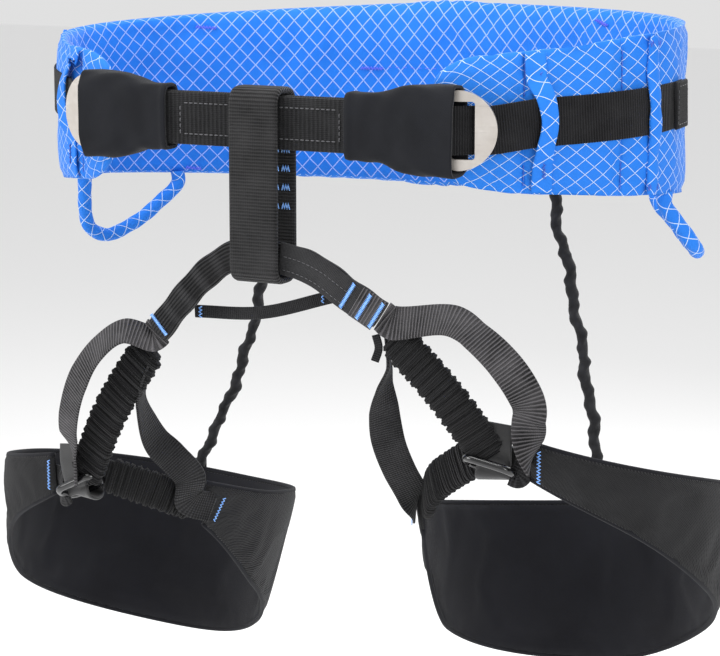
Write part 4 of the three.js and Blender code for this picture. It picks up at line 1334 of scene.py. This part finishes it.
def turn_about(axis, degrees):
    """A turn about the x, y or z axis, which are 0, 1 and 2."""
    a, b = (axis + 1) % 3, (axis + 2) % 3
    turn = np.eye(3)
    turn[a, a] = turn[b, b] = math.cos(math.radians(degrees))
    turn[b, a] = math.sin(math.radians(degrees))
    turn[a, b] = -turn[b, a]
    return turn


for side, leg in legs.items():
    sign, facts, archend, ring = leg.sign, leg.facts, ARCH_END[side], rings_at[side]
    run = unit(archend - arch_shoulder[side])
    arch_edge = np.array((-run[2], 0, run[0]))
    route = np.array([archend + run, archend + run * 7, *facts["bow"]], float)
    walked = lengths(route)
    edges = np.array([arch_edge, arch_edge, *facts["bow_edges"]], float)
    edges = read_at(np.linspace(0, walked[-1], OUTER_COUNT), walked, edges)
    line = curve(route, OUTER_COUNT)
    strap = sweep(leg.place(line), leg.place(edges), strap_section(STRAP_WIDTH, STRAP, 10))
    outer = build(
        side + "_leg_outer_webbing", [strap], GREY_WEBBING, None,
        [side + "_leg_outer_webbing"]
    )
    leg.place(archend) * MM
    leg.place(archend + run * 22 - UP * 8) * MM
    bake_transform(outer)

    start = archend + np.array((facts["inner_from"], 10, -12))
    end = leg.on_pad(leg.end - 3, 0.5, 2.8)
    route = np.array([start, *facts["inner"], leg.on_pad(leg.end + 7, 0.36, 3.2), end], float)
    line = curve(route, 130)
    along, walked = lengths(line), lengths(route)
    edges = np.array(facts["inner_edges"], float)
    edges = read_at(along, walked * along[-1] / walked[-1], edges)
    strap = sweep(leg.place(line), leg.place(edges), strap_section(STRAP_WIDTH, STRAP, 10))
    inner = build(
        side + "_leg_inner_webbing", [strap], INNER_WEBBING, None,
        [side + "_leg_inner_webbing"]
    )
    leg.place(start + UP * 3) * MM
    leg.place(between(start, end, 0.3, 0, 0, 0)) * MM
    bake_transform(inner)

    end_bar, rear_bar = (RING_WIDE + RING_ROD) / 2, (RING_DEEP + RING_ROD) / 2
    outline = rounded_box(-end_bar, end_bar, -rear_bar, rear_bar, 5.5, 1.0)
    flat = np.stack((outline[:, 0], outline[:, 1], np.zeros(len(outline))), axis=1)
    turned = turn_about(0, -28) @ turn_about(
        1, sign * facts["ring_roll"]
    ) @ turn_about(2, sign * 12)
    line = flat @ turned.T + leg.place(ring)
    rod = sweep(line, turned[:, 2], round_section(RING_ROD / 2 + 0.4, 14), closed=True)
    leg_piece(side, "adjuster_ring", [rod], GLOSS_BLACK)

    def on_ring(x, y, z):
        return leg.place(turned @ (x * sign, y, z) + leg.place(ring))

    # The tab comes down inside the ring, turns under its rear bar and goes back up behind.
    tab_edge = leg.place(np.array((0.97, 0.2, 0.05)))
    tab_route = [
        ring + np.array((5, -1, 24)), ring + np.array((4, -2.5, 13)), on_ring(2.5, -0.6, 0.5),
        on_ring(2.5, 2, -3.6), on_ring(2.5, rear_bar, -3.4), on_ring(2.5, rear_bar + 3, 0),
        ring + np.array((4, 7, 11))
    ]
    tab = sweep(leg.place(curve(tab_route, 70)), tab_edge, strap_section(STRAP_WIDTH + 0.5, 2.0))
    leg_piece(side, "ring_tab", [tab], SMOOTH_TAB)
    pad_route = [
        on_ring(end_bar - 1, 2, 0), on_ring(end_bar + 3, 3, 0),
        leg.on_pad(PAD_ANGLES["front"] - 1, 0.58, -1),
        leg.on_pad(PAD_ANGLES["front"] + 4, 0.52, -1.5)
    ]
    end_loop = sweep(leg.place(curve(pad_route, 40)), UP, strap_section(STRAP_WIDTH - 6, STRAP))
    leg_piece(side, "pad_end_loop", [end_loop], INNER_WEBBING)

    at = leg.place(leg.on_pad(PAD_ANGLES["front"] + facts["front_bar"], 0.5, 4.6))
    out = leg.place(leg.outwards(PAD_ANGLES["front"] + 4))
    sewn = [bartack(at, UP, out, 17, 2.0, 0.9, 0.32)]
    at, out = leg.place(leg.on_pad(leg.end - 5, 0.48, 4.6)), leg.place(leg.outwards(leg.end - 5))
    sewn.append(bartack(at, leg.place(facts["inner_bar"]), out, 15, 1.6, 0.9, 0.3))
    build(side + "_leg_bartacks", sewn, BLUE_THREAD, side + "_leg")

# ---- Rear risers ---------------------------------------------------------------------------
# A thin elastic cord inside a narrow tube of black cloth. The cloth is bunched along it, so it
# winds round in soft lumps. It joins the back of the belt to a flat tape on the leg pad.
RISER_CLOTH, tree, shader = dark_cloth("bunched_black_cloth", 0.66)
handled(tree, shader, 0.008, 0.8, (0.006, 0.006, 0.007), (0.0225, 0.0225, 0.025))
bumped(tree, shader, use(tree, weave, Along=0.7, Around=0.7, Uneven=0.6)["Height"], 0.0001)
RISER_RADII = (4.0, 3.0)
for number, (side, leg) in enumerate(legs.items()):
    facts = leg.facts
    top = np.array(facts["riser_top"], float)
    end = leg.on_pad(facts["riser_turn"], 0) - UP * 3
    slack = facts["riser_slack"]
    tucked = np.array((top[0], top[1] + 3, top[2] + 12))
    route = [
        tucked, top, between(top, end, 0.35, slack, 4, 0), between(top, end, 0.7, slack, 4, 0), end
    ]
    count = 260
    line = leg.place(curve(route, count))
    walked = lengths(line)
    chance = np.random.default_rng(31 + number)
    knots = chance.uniform(-1, 1, 60)
    angle = round_turn(20)
    sections = []
    for s in walked:
        uneven = np.interp(s / 6, range(60), knots)
        winding = 0.75 * np.sin(s / 2.9 + angle + uneven) + 0.35 * np.sin(s / 1.3 - 2 * angle)
        across, deep = (radius * (1 + 0.1 * uneven) + winding for radius in RISER_RADII)
        sections.append(np.stack((np.cos(angle) * across, np.sin(angle) * deep), axis=1))
    wander = np.stack((0.9 * np.sin(walked / 7), 0.6 * np.cos(walked / 8.5), 0 * walked), axis=1)
    riser = sweep(line + wander, (0, 1, 0), np.array(sections))
    build(
        side + "_rear_riser", [riser], RISER_CLOTH, side + "_rear_riser",
        [side + "_rear_riser"]
    )
    turn = facts["riser_turn"]
    down = [leg.on_pad(turn, 0, 4.0) + UP * z for z in np.linspace(5, -20, 16)]
    anchor = sweep(leg.place(down), leg.place(leg.outwards(turn + 90)), strap_section(13, 1.4))
    build(
        side + "_riser_anchor", [anchor], INNER_WEBBING, side + "_leg",
        [side + "_riser_anchor"]
    )
    run, out = leg.place(leg.outwards(turn + 90)), leg.place(leg.outwards(turn))
    places = [leg.place(leg.on_pad(turn, 0, 5.0) - UP * z) for z in (6, 16)]
    bars = [bartack(place, run, out, 11, 2, 0.9, 0.3) for place in places]
    build(side + "_riser_anchor_bartacks", bars, BLUE_THREAD, side + "_leg")

# ---- Gear loops ----------------------------------------------------------------------------
# A stiff cord inside a tube of the belt's blue cloth, sewn under the belt's lower edge at both
# ends. It holds its own curve and stands off from the wearer's hip.
GEAR_FROM, GEAR_TO, GEAR_SAG, GEAR_RADIUS = 92, 58, 32.5, 4
GEAR_SPLAY = {"left": 36, "right": 12}
GEAR_CLOTH = ripstop(
    "gear_loop_ripstop", (0.010, 0.150, 0.60), (0.016, 0.185, 0.66), (0.55, 0.68, 0.95), 0.014, 0.03
)
for side, sign in SIDES.items():
    hang = [on_belt(sign * t, belt_bottom(sign * t) - 5) for t in (GEAR_FROM, GEAR_TO)]
    splay = math.radians(GEAR_SPLAY[side])
    out = belt_out(sign * (GEAR_FROM + GEAR_TO) / 2)
    fall = out * math.sin(splay) - UP * math.cos(splay)
    sags = ((0, 0), (0.02, 0.4), (0.1, 0.85), (0.28, 1), (0.55, 0.8), (0.8, 0.42), (1, 0))
    route = [hang[0] + UP * 7] + [
        hang[0] + (hang[1] - hang[0]) * s + fall * g * GEAR_SAG for s, g in sags
    ]
    route.append(hang[1] + UP * 7)
    count = 170
    line = curve(route, count)
    walked = lengths(line)
    angle = round_turn(20)
    sections = []
    for s in walked:
        crumple = 0.14 * np.sin(s / 1.9 + 2 * angle) + 0.12 * np.sin(s / 4.3 - angle)
        end = min(s, walked[-1] - s)
        wide = 1 + 0.1 * math.exp(-end / 5)
        sections.append(
            np.stack(
                (np.cos(angle), np.sin(angle)), axis=1
            ) * (GEAR_RADIUS * wide + crumple)[:, None]
        )
    build(
        side + "_gear_loop", [sweep(line, out, np.array(sections))], GEAR_CLOTH,
        side + "_gear_loop", [side + "_gear_loop"]
    )
